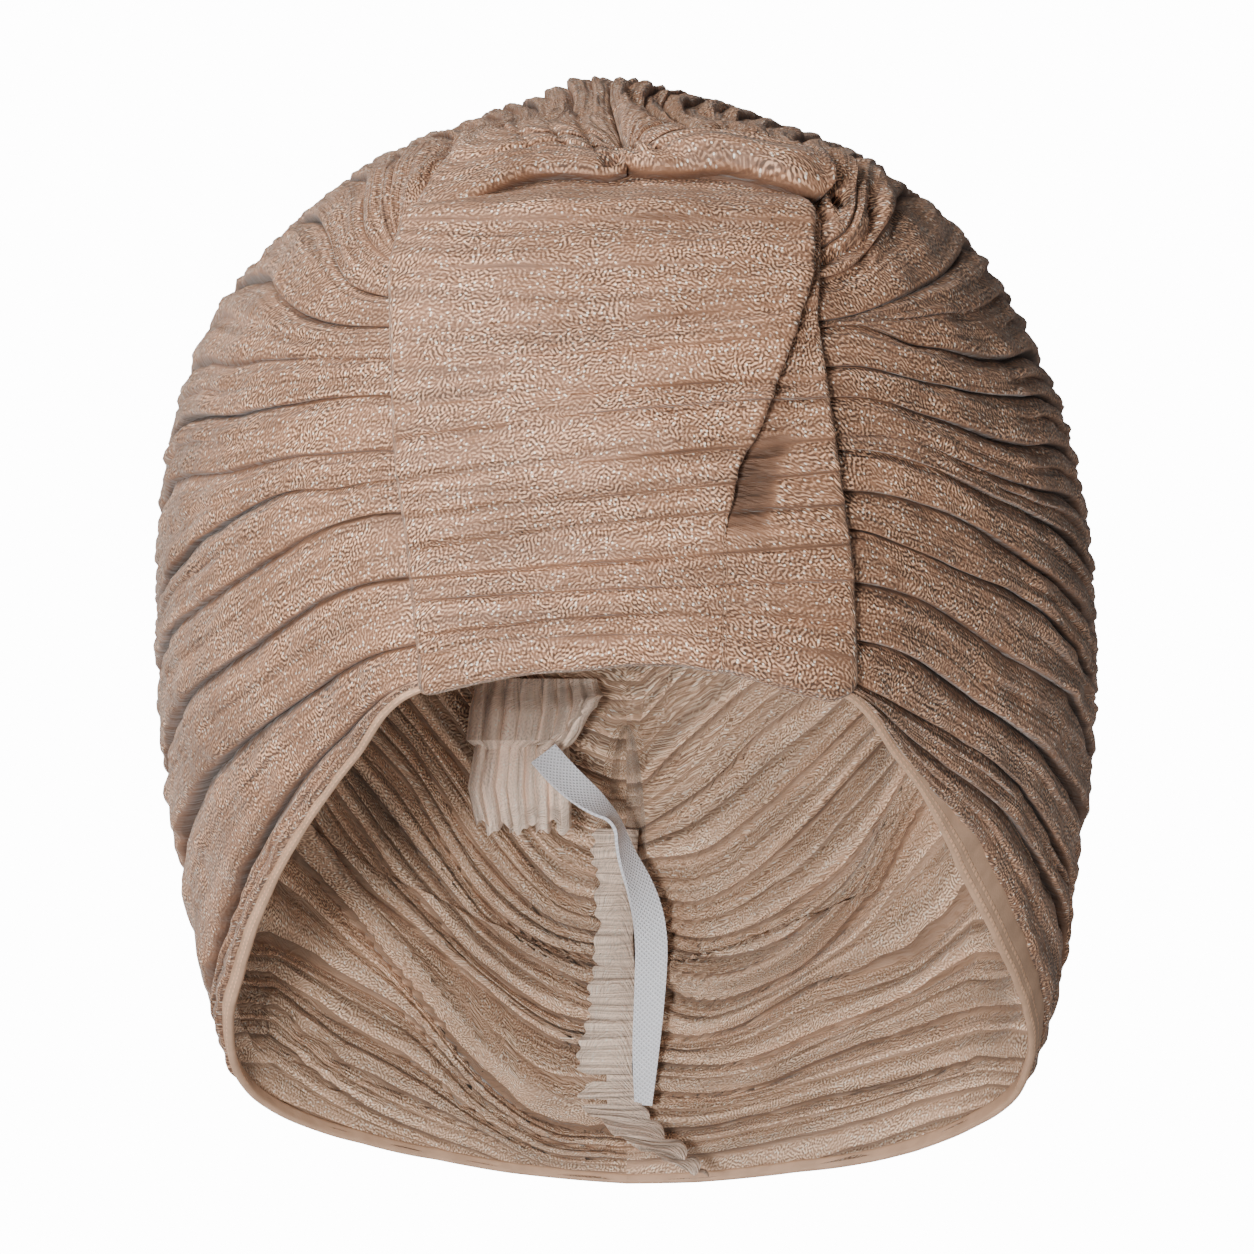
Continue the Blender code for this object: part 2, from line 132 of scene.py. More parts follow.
def section_at(side, place):
    """The section of one half at a fractional place, by a smooth curve through the rows."""
    first = int(math.floor(place))
    t = place - first
    a, b, c, d = (section_row(first + step) for step in (-1, 0, 1, 2))
    bend = 2 * a - 5 * b + 4 * c - d
    twist = -a + 3 * b - 3 * c + d
    section = Section(*(b + 0.5 * t * (c - a + t * (bend + t * twist))))
    share = math.sin(math.pi * min(max(place / LAST, 0.0), 1.0))
    full = FULLNESS[side]
    return section._replace(
        wide_z=section.wide_z + full.raise_widest * share,
        box=section.box + full.extra_box * share,
    )


def arch_line(section, hem):
    """A section's outline from the hem over the widest point to the centre seam."""
    rise = np.linspace(0, 1, LOWER_STEPS, endpoint=False)
    rim_z = RIM_LEVEL + RIM_SLOPE * section.rim_y + hem
    lower = np.stack(
        [
            section.wide_x - (section.wide_x - section.rim_x) * (1 - rise) ** 2,
            section.rim_y + (section.wide_y - section.rim_y) * rise,
            rim_z + (section.wide_z - rim_z) * rise,
        ],
        axis=1,
    )
    turn = np.linspace(0, math.pi / 2, UPPER_STEPS)
    across = np.clip(np.cos(turn), 0, 1) ** (2 / section.box)
    up = np.sin(turn) ** (2 / section.box)
    upper = np.stack(
        [
            section.wide_x * across,
            section.wide_y + (section.top_y - section.wide_y) * up**3,
            section.wide_z + (section.top_z - section.wide_z) * up,
        ],
        axis=1,
    )
    return np.concatenate([lower, upper])


class Form:
    """One half's smooth form as a table of points and outward normals, always on the +X
    side. A place is a section from 0 at the front to 8 at the back, and a height runs from
    the rim at 0 to the centre seam at 1."""

    FIRST_PLACE = -0.5
    PLACE_STEP = 0.025
    HEIGHTS = 241

    def __init__(self, side):
        self.side = side
        count = round((LAST + 1) / self.PLACE_STEP) + 1
        self.places = self.FIRST_PLACE + self.PLACE_STEP * np.arange(count)
        heights = np.linspace(0, 1, self.HEIGHTS)
        rows, lengths = [], []
        for place in self.places:
            section = section_at(side, place)
            line = arch_line(section, np.interp(place, HEM_PLACES, HEM_SHOWN[side]))
            steps = np.linalg.norm(np.diff(line, axis=0), axis=1)
            length = np.concatenate([[0], np.cumsum(steps)])
            target = length[-1] * heights**section.crowd
            rows.append(np.stack([np.interp(target, length, axis) for axis in line.T], axis=1))
            lengths.append(length[-1])
        self.points = self.trimmed(np.array(rows))
        self.lengths = np.array(lengths)
        self.normals = self.outward_normals()

    def trimmed(self, points):
        """The corrections of the outline, faded away from where it shows."""
        x, y, z = (points[..., k] for k in range(3))
        high = smooth((z + 95) / 30) * smooth((y + 72) / 30)
        low = smooth((-z - 150) / 40)
        points = points.copy()
        points[..., 2] += high * np.interp(x * self.side, TOP_TRIM_X, TOP_TRIM_Z)
        points[..., 2] += low * np.interp(x * self.side, NAPE_TRIM_X, NAPE_TRIM_Z)
        if self.side > 0:
            points[..., 0] += LOW_RIGHT_BULGE * low * x / 84
        return points

    def outward_normals(self):
        """Unit normals that point away from the head, level across the centre seam."""
        along = np.gradient(self.points, axis=0)
        up = np.gradient(self.points, axis=1)
        normals = np.cross(along, up)
        outward = np.sum(normals * (self.points - HOLLOW_MIDDLE), axis=2)
        normals *= np.sign(outward)[:, :, None]
        normals[:, -1, 0] = 0.0
        return normals / np.linalg.norm(normals, axis=2)[:, :, None]

    def sample(self, table, place, height):
        """Read a table between its entries."""
        across = (place - self.FIRST_PLACE) / self.PLACE_STEP
        up = np.clip(height, 0, 1) * (self.HEIGHTS - 1)
        i = np.clip(np.floor(across).astype(int), 0, len(self.places) - 2)
        j = np.clip(np.floor(up).astype(int), 0, self.HEIGHTS - 2)
        s = (across - i)[..., None]
        t = (up - j)[..., None]
        low = table[i, j] * (1 - t) + table[i, j + 1] * t
        high = table[i + 1, j] * (1 - t) + table[i + 1, j + 1] * t
        return low * (1 - s) + high * s

    def point(self, place, height):
        """Where the form lies at a place and height."""
        return self.sample(self.points, place, height)

    def normal(self, place, height):
        """The form's outward normal there, within the centre plane at both its ends."""
        normal = self.sample(self.normals, place, height)
        on_plane = (place < 0.001) | (place > LAST - 0.001)
        normal[..., 0] = np.where(on_plane, 0.0, normal[..., 0])
        return normal / np.linalg.norm(normal, axis=-1)[..., None]

    def length(self, place):
        """How long the arch is at a place."""
        return np.interp(place, self.places, self.lengths)

    def section_value(self, place, field):
        """One column of the section table at many places."""
        values = [getattr(section_at(self.side, p), field) for p in self.places]
        return np.interp(place, self.places, values)


FORMS = {side: Form(side) for side in (-1, 1)}

# The pleats.

# One row per main valley between two pleats, from the rim up. The course is the valley's
# height on the form at each of the places in COURSE_PLACES. The depths are shares of the
# section's pleat depth at the front, the side and the back. valley_lift and crest_lift are
# how far the cloth above the front lies proud of the form, and lap is how far the pleat's
# lower edge hangs over its valley there.
COURSE_PLACES = (0, 0.5, 1.0, 1.3, 1.6, 2.2, 3.2, 4.5, 8)
Valley = namedtuple("Valley", "course depths valley_lift crest_lift lap", defaults=(0, 0, 0))
VALLEYS = {
    -1: (
        Valley((0, 0, 0, 0, 0, 0, 0, 0, 0), (0.2, 0.3, 0.3)),
        Valley((0.012, 0.012, 0.010, 0.014, 0.019, 0.026, 0.024, 0.026, 0.045), (0.4, 1.1, 0.8)),
        Valley((0.075, 0.075, 0.071, 0.077, 0.083, 0.091, 0.110, 0.145, 0.130), (1.1, 1.2, 0.9)),
        Valley((0.175, 0.175, 0.175, 0.175, 0.174, 0.168, 0.180, 0.215, 0.200), (0.8, 0.8, 0.9)),
        Valley((0.270, 0.270, 0.270, 0.262, 0.252, 0.238, 0.246, 0.285, 0.270), (0.7, 0.8, 0.9)),
        Valley((0.320, 0.320, 0.317, 0.307, 0.313, 0.303, 0.292, 0.330, 0.335), (0.9, 0.8, 0.8)),
        Valley((0.365, 0.360, 0.353, 0.348, 0.350, 0.352, 0.372, 0.385, 0.395), (0.5, 0.6, 0.8)),
        Valley((0.440, 0.435, 0.428, 0.418, 0.412, 0.412, 0.425, 0.445, 0.455), (0.9, 0.9, 0.9)),
        Valley((0.500, 0.490, 0.475, 0.465, 0.463, 0.465, 0.482, 0.505, 0.515), (0.4, 0.6, 0.8)),
        Valley((0.560, 0.540, 0.518, 0.506, 0.512, 0.565, 0.590, 0.580, 0.575), (1.1, 0.9, 0.8)),
        Valley((0.620, 0.590, 0.556, 0.558, 0.605, 0.650, 0.660, 0.645, 0.630), (1.0, 0.8, 0.8)),
        Valley((0.700, 0.660, 0.600, 0.620, 0.680, 0.715, 0.720, 0.705, 0.685), (0.5, 0.7, 0.8)),
        Valley((0.780, 0.740, 0.622, 0.680, 0.735, 0.765, 0.765, 0.750, 0.715), (0.3, 0.6, 0.8)),
        Valley((0.925, 0.832, 0.658, 0.755, 0.805, 0.830, 0.820, 0.800, 0.745),
               (0.6, 0.8, 0.8), 0.0, 5.0, 2.6),
        Valley((0.945, 0.900, 0.760, 0.830, 0.860, 0.880, 0.875, 0.860, 0.800),
               (0.3, 0.6, 0.7), 3.6, 3.8),
        Valley((0.965, 0.935, 0.850, 0.885, 0.905, 0.920, 0.915, 0.905, 0.865),
               (0.3, 0.6, 0.7), 2.4, 2.6),
        Valley((0.985, 0.970, 0.930, 0.940, 0.950, 0.960, 0.955, 0.950, 0.930),
               (0.3, 0.5, 0.7), 1.2, 1.2),
        Valley((1, 1, 1, 1, 1, 1, 1, 1, 1), (0.5, 0.4, 0.5)),
    ),
    1: (
        Valley((0, 0, 0, 0, 0, 0, 0, 0, 0), (0.2, 0.3, 0.3)),
        Valley((0.006, 0.006, 0.006, 0.008, 0.014, 0.028, 0.041, 0.070, 0.060), (0.3, 1.0, 0.8)),
        Valley((0.020, 0.020, 0.018, 0.022, 0.035, 0.060, 0.068, 0.097, 0.115), (0.8, 1.0, 0.8)),
        Valley((0.085, 0.085, 0.083, 0.092, 0.100, 0.105, 0.110, 0.155, 0.165), (1.1, 1.1, 0.8)),
        Valley((0.170, 0.170, 0.170, 0.170, 0.170, 0.165, 0.170, 0.205, 0.215), (0.8, 0.7, 0.8)),
        Valley((0.255, 0.250, 0.247, 0.230, 0.225, 0.230, 0.210, 0.255, 0.265), (0.8, 0.8, 0.8)),
        Valley((0.310, 0.305, 0.300, 0.290, 0.284, 0.268, 0.252, 0.300, 0.315), (0.8, 0.8, 0.8)),
        Valley((0.375, 0.370, 0.360, 0.344, 0.330, 0.318, 0.308, 0.345, 0.365), (1.1, 1.0, 0.8)),
        Valley((0.390, 0.385, 0.378, 0.366, 0.352, 0.342, 0.350, 0.385, 0.410), (0.15, 0.9, 0.8)),
        Valley((0.450, 0.445, 0.428, 0.405, 0.392, 0.384, 0.392, 0.425, 0.460), (0.9, 0.8, 0.8)),
        Valley((0.500, 0.490, 0.468, 0.444, 0.436, 0.435, 0.435, 0.475, 0.505), (0.7, 0.8, 0.8)),
        Valley((0.550, 0.545, 0.527, 0.492, 0.480, 0.475, 0.490, 0.525, 0.550), (1.2, 0.9, 0.8)),
        Valley((0.565, 0.552, 0.532, 0.520, 0.522, 0.535, 0.555, 0.570, 0.575), (0.1, 0.6, 0.7)),
        Valley((0.580, 0.560, 0.537, 0.545, 0.560, 0.595, 0.620, 0.610, 0.600), (0.6, 0.8, 0.8)),
        Valley((0.660, 0.630, 0.600, 0.630, 0.660, 0.690, 0.690, 0.670, 0.650), (1.0, 0.7, 0.8)),
        Valley((0.750, 0.700, 0.640, 0.700, 0.735, 0.755, 0.750, 0.730, 0.700), (0.6, 0.7, 0.8)),
        Valley((0.930, 0.835, 0.705, 0.765, 0.800, 0.820, 0.815, 0.800, 0.755),
               (0.6, 0.7, 0.8), 0.0, 6.5, 2.6),
        Valley((0.955, 0.900, 0.800, 0.840, 0.865, 0.880, 0.875, 0.860, 0.810),
               (0.6, 0.6, 0.7), 3.0, 3.0),
        Valley((0.970, 0.940, 0.870, 0.895, 0.915, 0.930, 0.925, 0.910, 0.870),
               (0.4, 0.6, 0.7), 2.0, 2.0),
        Valley((0.985, 0.970, 0.935, 0.945, 0.955, 0.965, 0.960, 0.955, 0.935),
               (0.3, 0.5, 0.7), 1.2, 1.2),
        Valley((1, 1, 1, 1, 1, 1, 1, 1, 1), (0.5, 0.4, 0.5)),
    ),
}
RIPPLE = 1.0  # height of the fine ripples that run along the pleats
MINOR_DEPTH = 0.5  # of the shallow valley halfway up each pleat, where the pleats fan out
FRONT_LIFT_END = (0.95, 1.35)  # the places where the lifted front cloth starts and ends sinking
PLEAT_SAMPLES = (0.0, 0.07, 0.16, 0.28, 0.42, 0.6, 0.8)
CREST = 0.28  # where a pleat is highest, as a share of its width
PLEAT_CURVE = 1.8  # how the cloth rounds off from a crest to the next valley
LAP = 0.8  # how far a deep pleat's edge hangs over its valley
TUCK = 0.6  # how far a valley reaches up under that edge, as a share of LAP
WALL = 1.6  # from the form in to the inner layer
INSIDE_STANDOFF = 0.8  # how far the inside's pleats stand clear of the valleys, in pleat depths
SEAM_GAP = -0.03  # how far each half stays from the centre plane; below 0 it reaches past it
SEAM_LEAN = 3.2  # how far the seam leans to the left over the top of the front


def smooth_curve(knots, values, place):
    """A smooth curve through the values at the knots, level past both ends."""
    knots = np.array(knots, float)
    values = np.array(values, float)
    place = np.clip(place, knots[0], knots[-1])
    slopes = np.gradient(values, knots)
    i = np.clip(np.searchsorted(knots, place, side="right") - 1, 0, len(knots) - 2)
    width = knots[i + 1] - knots[i]
    t = (place - knots[i]) / width
    return (
        values[i] * (2 * t**3 - 3 * t**2 + 1)
        + width * slopes[i] * (t**3 - 2 * t**2 + t)
        + values[i + 1] * (3 * t**2 - 2 * t**3)
        + width * slopes[i + 1] * (t**3 - t**2)
    )


def valley_lines(side, place):
    """Each valley's height, depth, lifts and lap at every place, main and minor ones."""
    front = 1 - smooth((place - FRONT_LIFT_END[0]) / (FRONT_LIFT_END[1] - FRONT_LIFT_END[0]))
    fan = smooth((place - 1.6) / 1.2) * (1 - 0.4 * smooth((place - 5.5) / 2.0))
    lines = []
    for valley in VALLEYS[side]:
        depth = np.interp(place, (0.9, 3.2, 8.0), valley.depths)
        main = (
            smooth_curve(COURSE_PLACES, valley.course, place), depth,
            valley.valley_lift * front, valley.crest_lift * front, valley.lap * front,
        )
        if lines:
            low = lines[-1]
            share = 0.5 + 0.06 * math.sin(5.0 * len(lines))
            minor = [a + (b - a) * share for a, b in zip(low, main)]
            minor[1] = MINOR_DEPTH * fan * (0.7 + 0.3 * math.cos(3.0 * len(lines)))
            minor[2] = low[3] + (main[2] - low[3]) * share
            minor[3] = minor[2]
            minor[4] = 0 * place
            lines.append(tuple(minor))
        lines.append(main)
    return [np.array(values) for values in zip(*lines)]


# Folds drawn on the front.

# Gathered folds that cross the pleats, as lines drawn on the front view: x across and z up
# on a sheet through the origin, as seen from the camera. A roll stands proud with rounded
# sides, and a crease sinks in.
Fold = namedtuple("Fold", "side height half_width line")
FRONT_ROLLS = (
    Fold(1, 3.4, 4.2, ((1, -1), (3, -6), (7, -10), (15, -12.3), (24, -14), (32, -17), (36, -18.5))),
    Fold(1, 2.4, 1.4, ((37.3, -10), (37.9, -16), (40, -21), (41.5, -24.5))),
    Fold(1, 3.4, 2.7, ((39.3, -12), (43.9, -16), (46.3, -20), (45.3, -23.5), (42.5, -24.6))),
    Fold(1, 3.2, 2.8, ((39.3, -27.8), (44, -26.6), (48.5, -24.6))),
    Fold(1, 2.4, 2.6, ((46.5, -13), (51, -20), (51.8, -26), (48.5, -31), (38, -36.5))),
    Fold(1, 2.0, 1.4, ((2.7, -8), (3.3, -12), (4.7, -15.7))),
)
FRONT_CREASES = (
    Fold(1, 3.6, 1.3, ((3, 2), (8.3, -4.7), (12.8, -8.5), (23.6, -10.3), (33, -13))),
    Fold(1, 2.2, 0.9, ((7.7, 4), (11, -1), (15.2, -7.5))),
    Fold(1, 2.0, 0.9, ((14.4, 2.5), (18, -2.5), (21.8, -8.4))),
    Fold(1, 1.8, 0.8, ((20.4, 0.5), (21.6, -4), (22.6, -8.4))),
    Fold(1, 2.0, 0.9, ((25.8, -1.5), (30, -6), (33.5, -10))),
    Fold(1, 2.2, 0.9, ((30.9, -3), (34.8, -7), (38.2, -11.2))),
    Fold(-1, 2.6, 1.2, ((-33, -3), (-37, -13), (-40.5, -20), (-45, -28))),
    Fold(-1, 1.2, 0.8, ((-8, 2), (-7.2, -6), (-5.4, -14))),
    Fold(-1, 1.0, 0.8, ((-15, 0), (-13.6, -7), (-11.2, -13))),
    Fold(-1, 1.0, 0.8, ((-22.5, -1), (-20.6, -8), (-18, -15))),
    Fold(1, 3.0, 1.3, ((42.5, -18.2), (42.1, -22.5))),
    Fold(1, 2.6, 1.3, ((47.7, -18), (49.7, -24.8), (47.7, -30), (36.7, -34.2))),
    Fold(1, 2.2, 1.5, ((54, -25.2), (51, -30.2), (45.5, -34.6), (35.5, -38.3))),
    Fold(-1, 2.5, 1.0, ((-5, -16.5), (-0.5, -14.5))),
)
# The paler inside hangs in pleats of its own. Each line is a pleat's lower edge: its height on
# the front-view sheet at each x of INSIDE_X, how far the pleat above it swells towards the
# hollow, and how far all the cloth above it does.
InsideLine = namedtuple("InsideLine", "swell broad heights")
INSIDE_X = {-1: (-75, -60, -45, -30, -15, -3), 1: (3, 15, 27, 39, 51, 63, 75)}
INSIDE_LINES = {
    -1: (
        InsideLine(0.0, 0, (-76, -92, -106, -125, -147, -153)),
        InsideLine(2.8, 0, (-92, -108, -121, -139, -158, -162)),
        InsideLine(2.8, 0, (-99, -115, -129, -151, -165, -168)),
        InsideLine(3.0, 0, (-105, -122, -138, -160, -170.5, -172.5)),
        InsideLine(3.0, 0, (-113, -131, -148.5, -166, -176, -181)),
        InsideLine(2.8, 0, (-121, -141, -160, -175, -185, -188)),
        InsideLine(2.8, 0, (-133, -156, -167, -179.5, -190, -192)),
        InsideLine(3.6, 6, (-147, -162, -179, -197, -207, -208)),
        InsideLine(3.0, 0, (-170, -177, -185, -201, -210, -211)),
        InsideLine(2.8, 0, (-176.5, -186, -193.5, -205, -212.5, -213.5)),
        InsideLine(2.6, 0, (-183.5, -194, -201, -208, -215, -216)),
        InsideLine(1.6, 0, (-189, -200, -207, -212, -218, -219)),
        InsideLine(1.2, 0, (-201, -206, -211, -216, -221, -222)),
        InsideLine(2.0, 0, (-212, -217, -221, -226, -231, -233)),
    ),
    1: (
        InsideLine(0.0, 0, (-125, -112, -102, -94, -86, -78, -70)),
        InsideLine(2.8, 0, (-138, -127, -117, -109, -101, -92.5, -84.5)),
        InsideLine(3.0, 0, (-147, -139.5, -128, -119, -111, -102.5, -94.5)),
        InsideLine(3.0, 0, (-153, -151.5, -144, -133, -122, -111.5, -102.5)),
        InsideLine(3.0, 0, (-159.5, -161.5, -155, -145, -132, -121, -110.5)),
        InsideLine(3.0, 0, (-165, -168.5, -166, -159.5, -149, -133, -119)),
        InsideLine(2.8, 0, (-171, -174.5, -173.5, -167.5, -156, -136.5, -122.5)),
        InsideLine(3.8, 8, (-177, -183, -180.5, -173.5, -161, -140, -127)),
        InsideLine(2.6, 3, (-188, -189.5, -185.5, -178.5, -175.5, -171, -159)),
        InsideLine(3.0, 0, (-195, -195.5, -194, -189, -184.5, -179.5, -173)),
        InsideLine(3.2, 3, (-200, -200.5, -199, -194.5, -190, -187, -184)),
        InsideLine(2.8, 0, (-208, -207.5, -205, -202, -199.5, -197, -194)),
        InsideLine(2.6, 0, (-214, -213, -211, -208.5, -205.5, -202, -199)),
        InsideLine(2.0, 0, (-226, -225, -222.5, -219, -215, -211, -207)),
    ),
}
MINOR_SWELL = 1.0  # of the smaller pleats between the lines
MINOR_COUNT = 2
BROAD_REACH = 24.0  # how fast a broad swell dies away above its line
INSIDE_SPACING = 8.0  # between two lines, past the first and the last


def front_view(points):
    """Where points appear on the front-view sheet."""
    nearer = 1 + points[..., 1] / EYE_DISTANCE
    return points[..., 0] / nearer, (points[..., 2] - EYE_HEIGHT) / nearer + EYE_HEIGHT


def line_distance(x, z, line):
    """How far points are from a drawn line, which side they are on and how far along."""
    best = np.full(x.shape, np.inf)
    left = np.zeros(x.shape)
    along = np.zeros(x.shape)
    count = len(line) - 1
    for k, ((ax, az), (bx, bz)) in enumerate(zip(line, line[1:])):
        dx, dz = bx - ax, bz - az
        raw = ((x - ax) * dx + (z - az) * dz) / (dx * dx + dz * dz)
        t = np.clip(raw, 0, 1)
        distance = np.hypot(x - ax - dx * t, z - az - dz * t)
        nearer = distance < best
        best = np.where(nearer, distance, best)
        left = np.where(nearer, dx * (z - az) - dz * (x - ax), left)
        along = np.where(nearer, (k + t) / count, along)
    return best, np.sign(left), along


def taper(along):
    """A fold dies away at both its ends."""
    return np.sqrt(np.clip(np.minimum(along, 1 - along) / 0.16, 0, 1))


def drawn_relief(side, points, facing):
    """The height that the drawn rolls and creases add to the front."""
    x, z = front_view(points)
    relief = np.zeros(x.shape)
    for fold in FRONT_ROLLS:
        if fold.side == side:
            distance, _, along = line_distance(x, z, fold.line)
            dome = np.sqrt(np.clip(1 - (distance / fold.half_width) ** 2, 0, 1))
            relief = np.maximum(relief, fold.height * dome * (0.35 + 0.65 * taper(along)))
    for fold in FRONT_CREASES:
        if fold.side == side:
            distance, _, along = line_distance(x, z, fold.line)
            relief -= fold.height * np.exp(-((distance / fold.half_width) ** 2)) * taper(along)
    return relief * smooth((facing - 0.05) / 0.2)


def hanging_pleat(share):
    """A pleat's swell at a share of the way up from its lower edge."""
    return smooth(share / 0.3) * np.clip((1 - share) / 0.7, 0, 1)


def inside_relief(side, points):
    """How far the inside swells towards the hollow, and how many lines down each point is."""
    x, z = front_view(points)
    rows = INSIDE_LINES[side]
    levels = [smooth_curve(INSIDE_X[side], row.heights, x) for row in rows]
    relief = np.zeros(x.shape)
    lines_down = np.where(z > levels[0], (levels[0] - z) / INSIDE_SPACING, 0)
    for k, (upper, lower, row) in enumerate(zip(levels, levels[1:], rows[1:])):
        share = (z - lower) / (upper - lower)
        here = (share >= 0) & (share < 1)
        minor = MINOR_SWELL * hanging_pleat(share * MINOR_COUNT % 1)
        relief += np.where(here, row.swell * hanging_pleat(share) + minor, 0)
        fading = np.exp(-np.maximum(z - lower, 0) / BROAD_REACH)
        relief += row.broad * smooth((z - lower) / 4) * fading
        lines_down += np.where(here, k + 1 - share, 0)
    past = len(levels) - 1 + (levels[-1] - z) / INSIDE_SPACING
    lines_down = np.where(z < levels[-1], past, lines_down)
    relief += 0.4 * RIPPLE * wrinkles(np.stack([x / 30, lines_down * 3, 0 * x], axis=2), 1.0, 31)
    return relief * smooth(np.abs(x) / 5), lines_down


def wrinkles(points, size, seed):
    """Soft noise in space, the same in every run."""
    offset = Vector((17.3 * seed, 5.1 * seed, 9.7 * seed))
    flat = points.reshape(-1, 3) / size
    values = [noise.noise(Vector(point) + offset) for point in flat]
    return np.array(values).reshape(points.shape[:-1])


# Making sheets of cloth.


SHARP_ANGLE = 60  # degrees between two faces from which their edge is sharp


def cloth_sheet(name, along, across, place, materials):
    """A closed sheet of cloth. A flat grid is extruded into two layers, and place then gives
    the outer and the inner Layer."""
    mesh = bpy.data.meshes.new(name)
    bm = bmesh.new()
    bmesh.ops.create_grid(bm, x_segments=along, y_segments=across, size=1)
    wall = bmesh.ops.extrude_face_region(bm, geom=bm.faces[:], use_keep_orig=True)
    second = [item for item in wall["geom"] if isinstance(item, bmesh.types.BMVert)]
    bmesh.ops.translate(bm, verts=second, vec=(0, 0, 1))
    bmesh.ops.recalc_face_normals(bm, faces=bm.faces[:])
    bm.to_mesh(mesh)
    bm.free()
    flat = np.empty(len(mesh.vertices) * 3)
    mesh.vertices.foreach_get("co", flat)
    flat = flat.reshape(-1, 3)
    column = np.round((flat[:, 0] + 1) / 2 * along).astype(int)
    row = np.round((flat[:, 1] + 1) / 2 * across).astype(int)
    layer = np.round(flat[:, 2]).astype(int)
    layers = place()

    def spread(field):
        """One field of both layers, vertex by vertex."""
        return np.stack([getattr(one, field) for one in layers])[layer, column, row]

    mesh.vertices.foreach_set("co", (spread("points") * MM).ravel())
    loop_vertex = np.empty(len(mesh.loops), int)
    mesh.loops.foreach_get("vertex_index", loop_vertex)
    cloth = mesh.uv_layers.new(name="cloth")
    cloth.data.foreach_set("uv", spread("cloth")[loop_vertex].ravel())
    for mark in ("strip", "pleats"):
        mesh.attributes.new(mark, "FLOAT", "POINT").data.foreach_set("value", spread(mark))
    for material in materials:
        mesh.materials.append(material)
    if len(materials) > 1:
        inside = np.zeros(len(mesh.polygons), int)
        for index, polygon in enumerate(mesh.polygons):
            inside[index] = all(layer[vertex] for vertex in polygon.vertices)
        mesh.polygons.foreach_set("material_index", inside)
    mesh.update()
    check = bmesh.new()
    check.from_mesh(mesh)
    if check.calc_volume(signed=True) < 0:
        bmesh.ops.reverse_faces(check, faces=check.faces[:])
        check.to_mesh(mesh)
    check.free()
    mesh.shade_smooth()
    mesh.set_sharp_from_angle(angle=math.radians(SHARP_ANGLE))
    piece = bpy.data.objects.new(name, mesh)
    bpy.context.scene.collection.objects.link(piece)
    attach(piece, "root")
    return piece


# One side of a sheet of cloth: where its points lie in mm, their cloth coordinates in cm, how
# much each is part of a smooth strip darkened by painted shade, and how many pleats across it is.
Layer = namedtuple("Layer", "points cloth strip pleats")


def both_layers(outer, inner, cloth, strip, pleats):
    """Two layers with the same marks."""
    return Layer(outer, cloth, strip, pleats), Layer(inner, cloth, strip, pleats)


def cloth_coordinates(points):
    """Centimetres along and across a sheet, measured on its middle surface."""
    along = np.linalg.norm(np.diff(points, axis=0), axis=2)
    across = np.linalg.norm(np.diff(points, axis=1), axis=2)
    u = np.concatenate([np.zeros((1, points.shape[1])), np.cumsum(along, axis=0)])
    v = np.concatenate([np.zeros((points.shape[0], 1)), np.cumsum(across, axis=1)], axis=1)
    u = np.repeat(u.mean(axis=1)[:, None], points.shape[1], axis=1) * 0.5 + u * 0.5
    return np.stack([u, v], axis=2) / 10


# The crown.

CROWN_COLUMNS = np.concatenate(
    [
        np.linspace(0.0, 1.7, 60, endpoint=False),
        np.linspace(1.7, 4.4, 36, endpoint=False),
        np.linspace(4.4, LAST, 80),
    ]
)


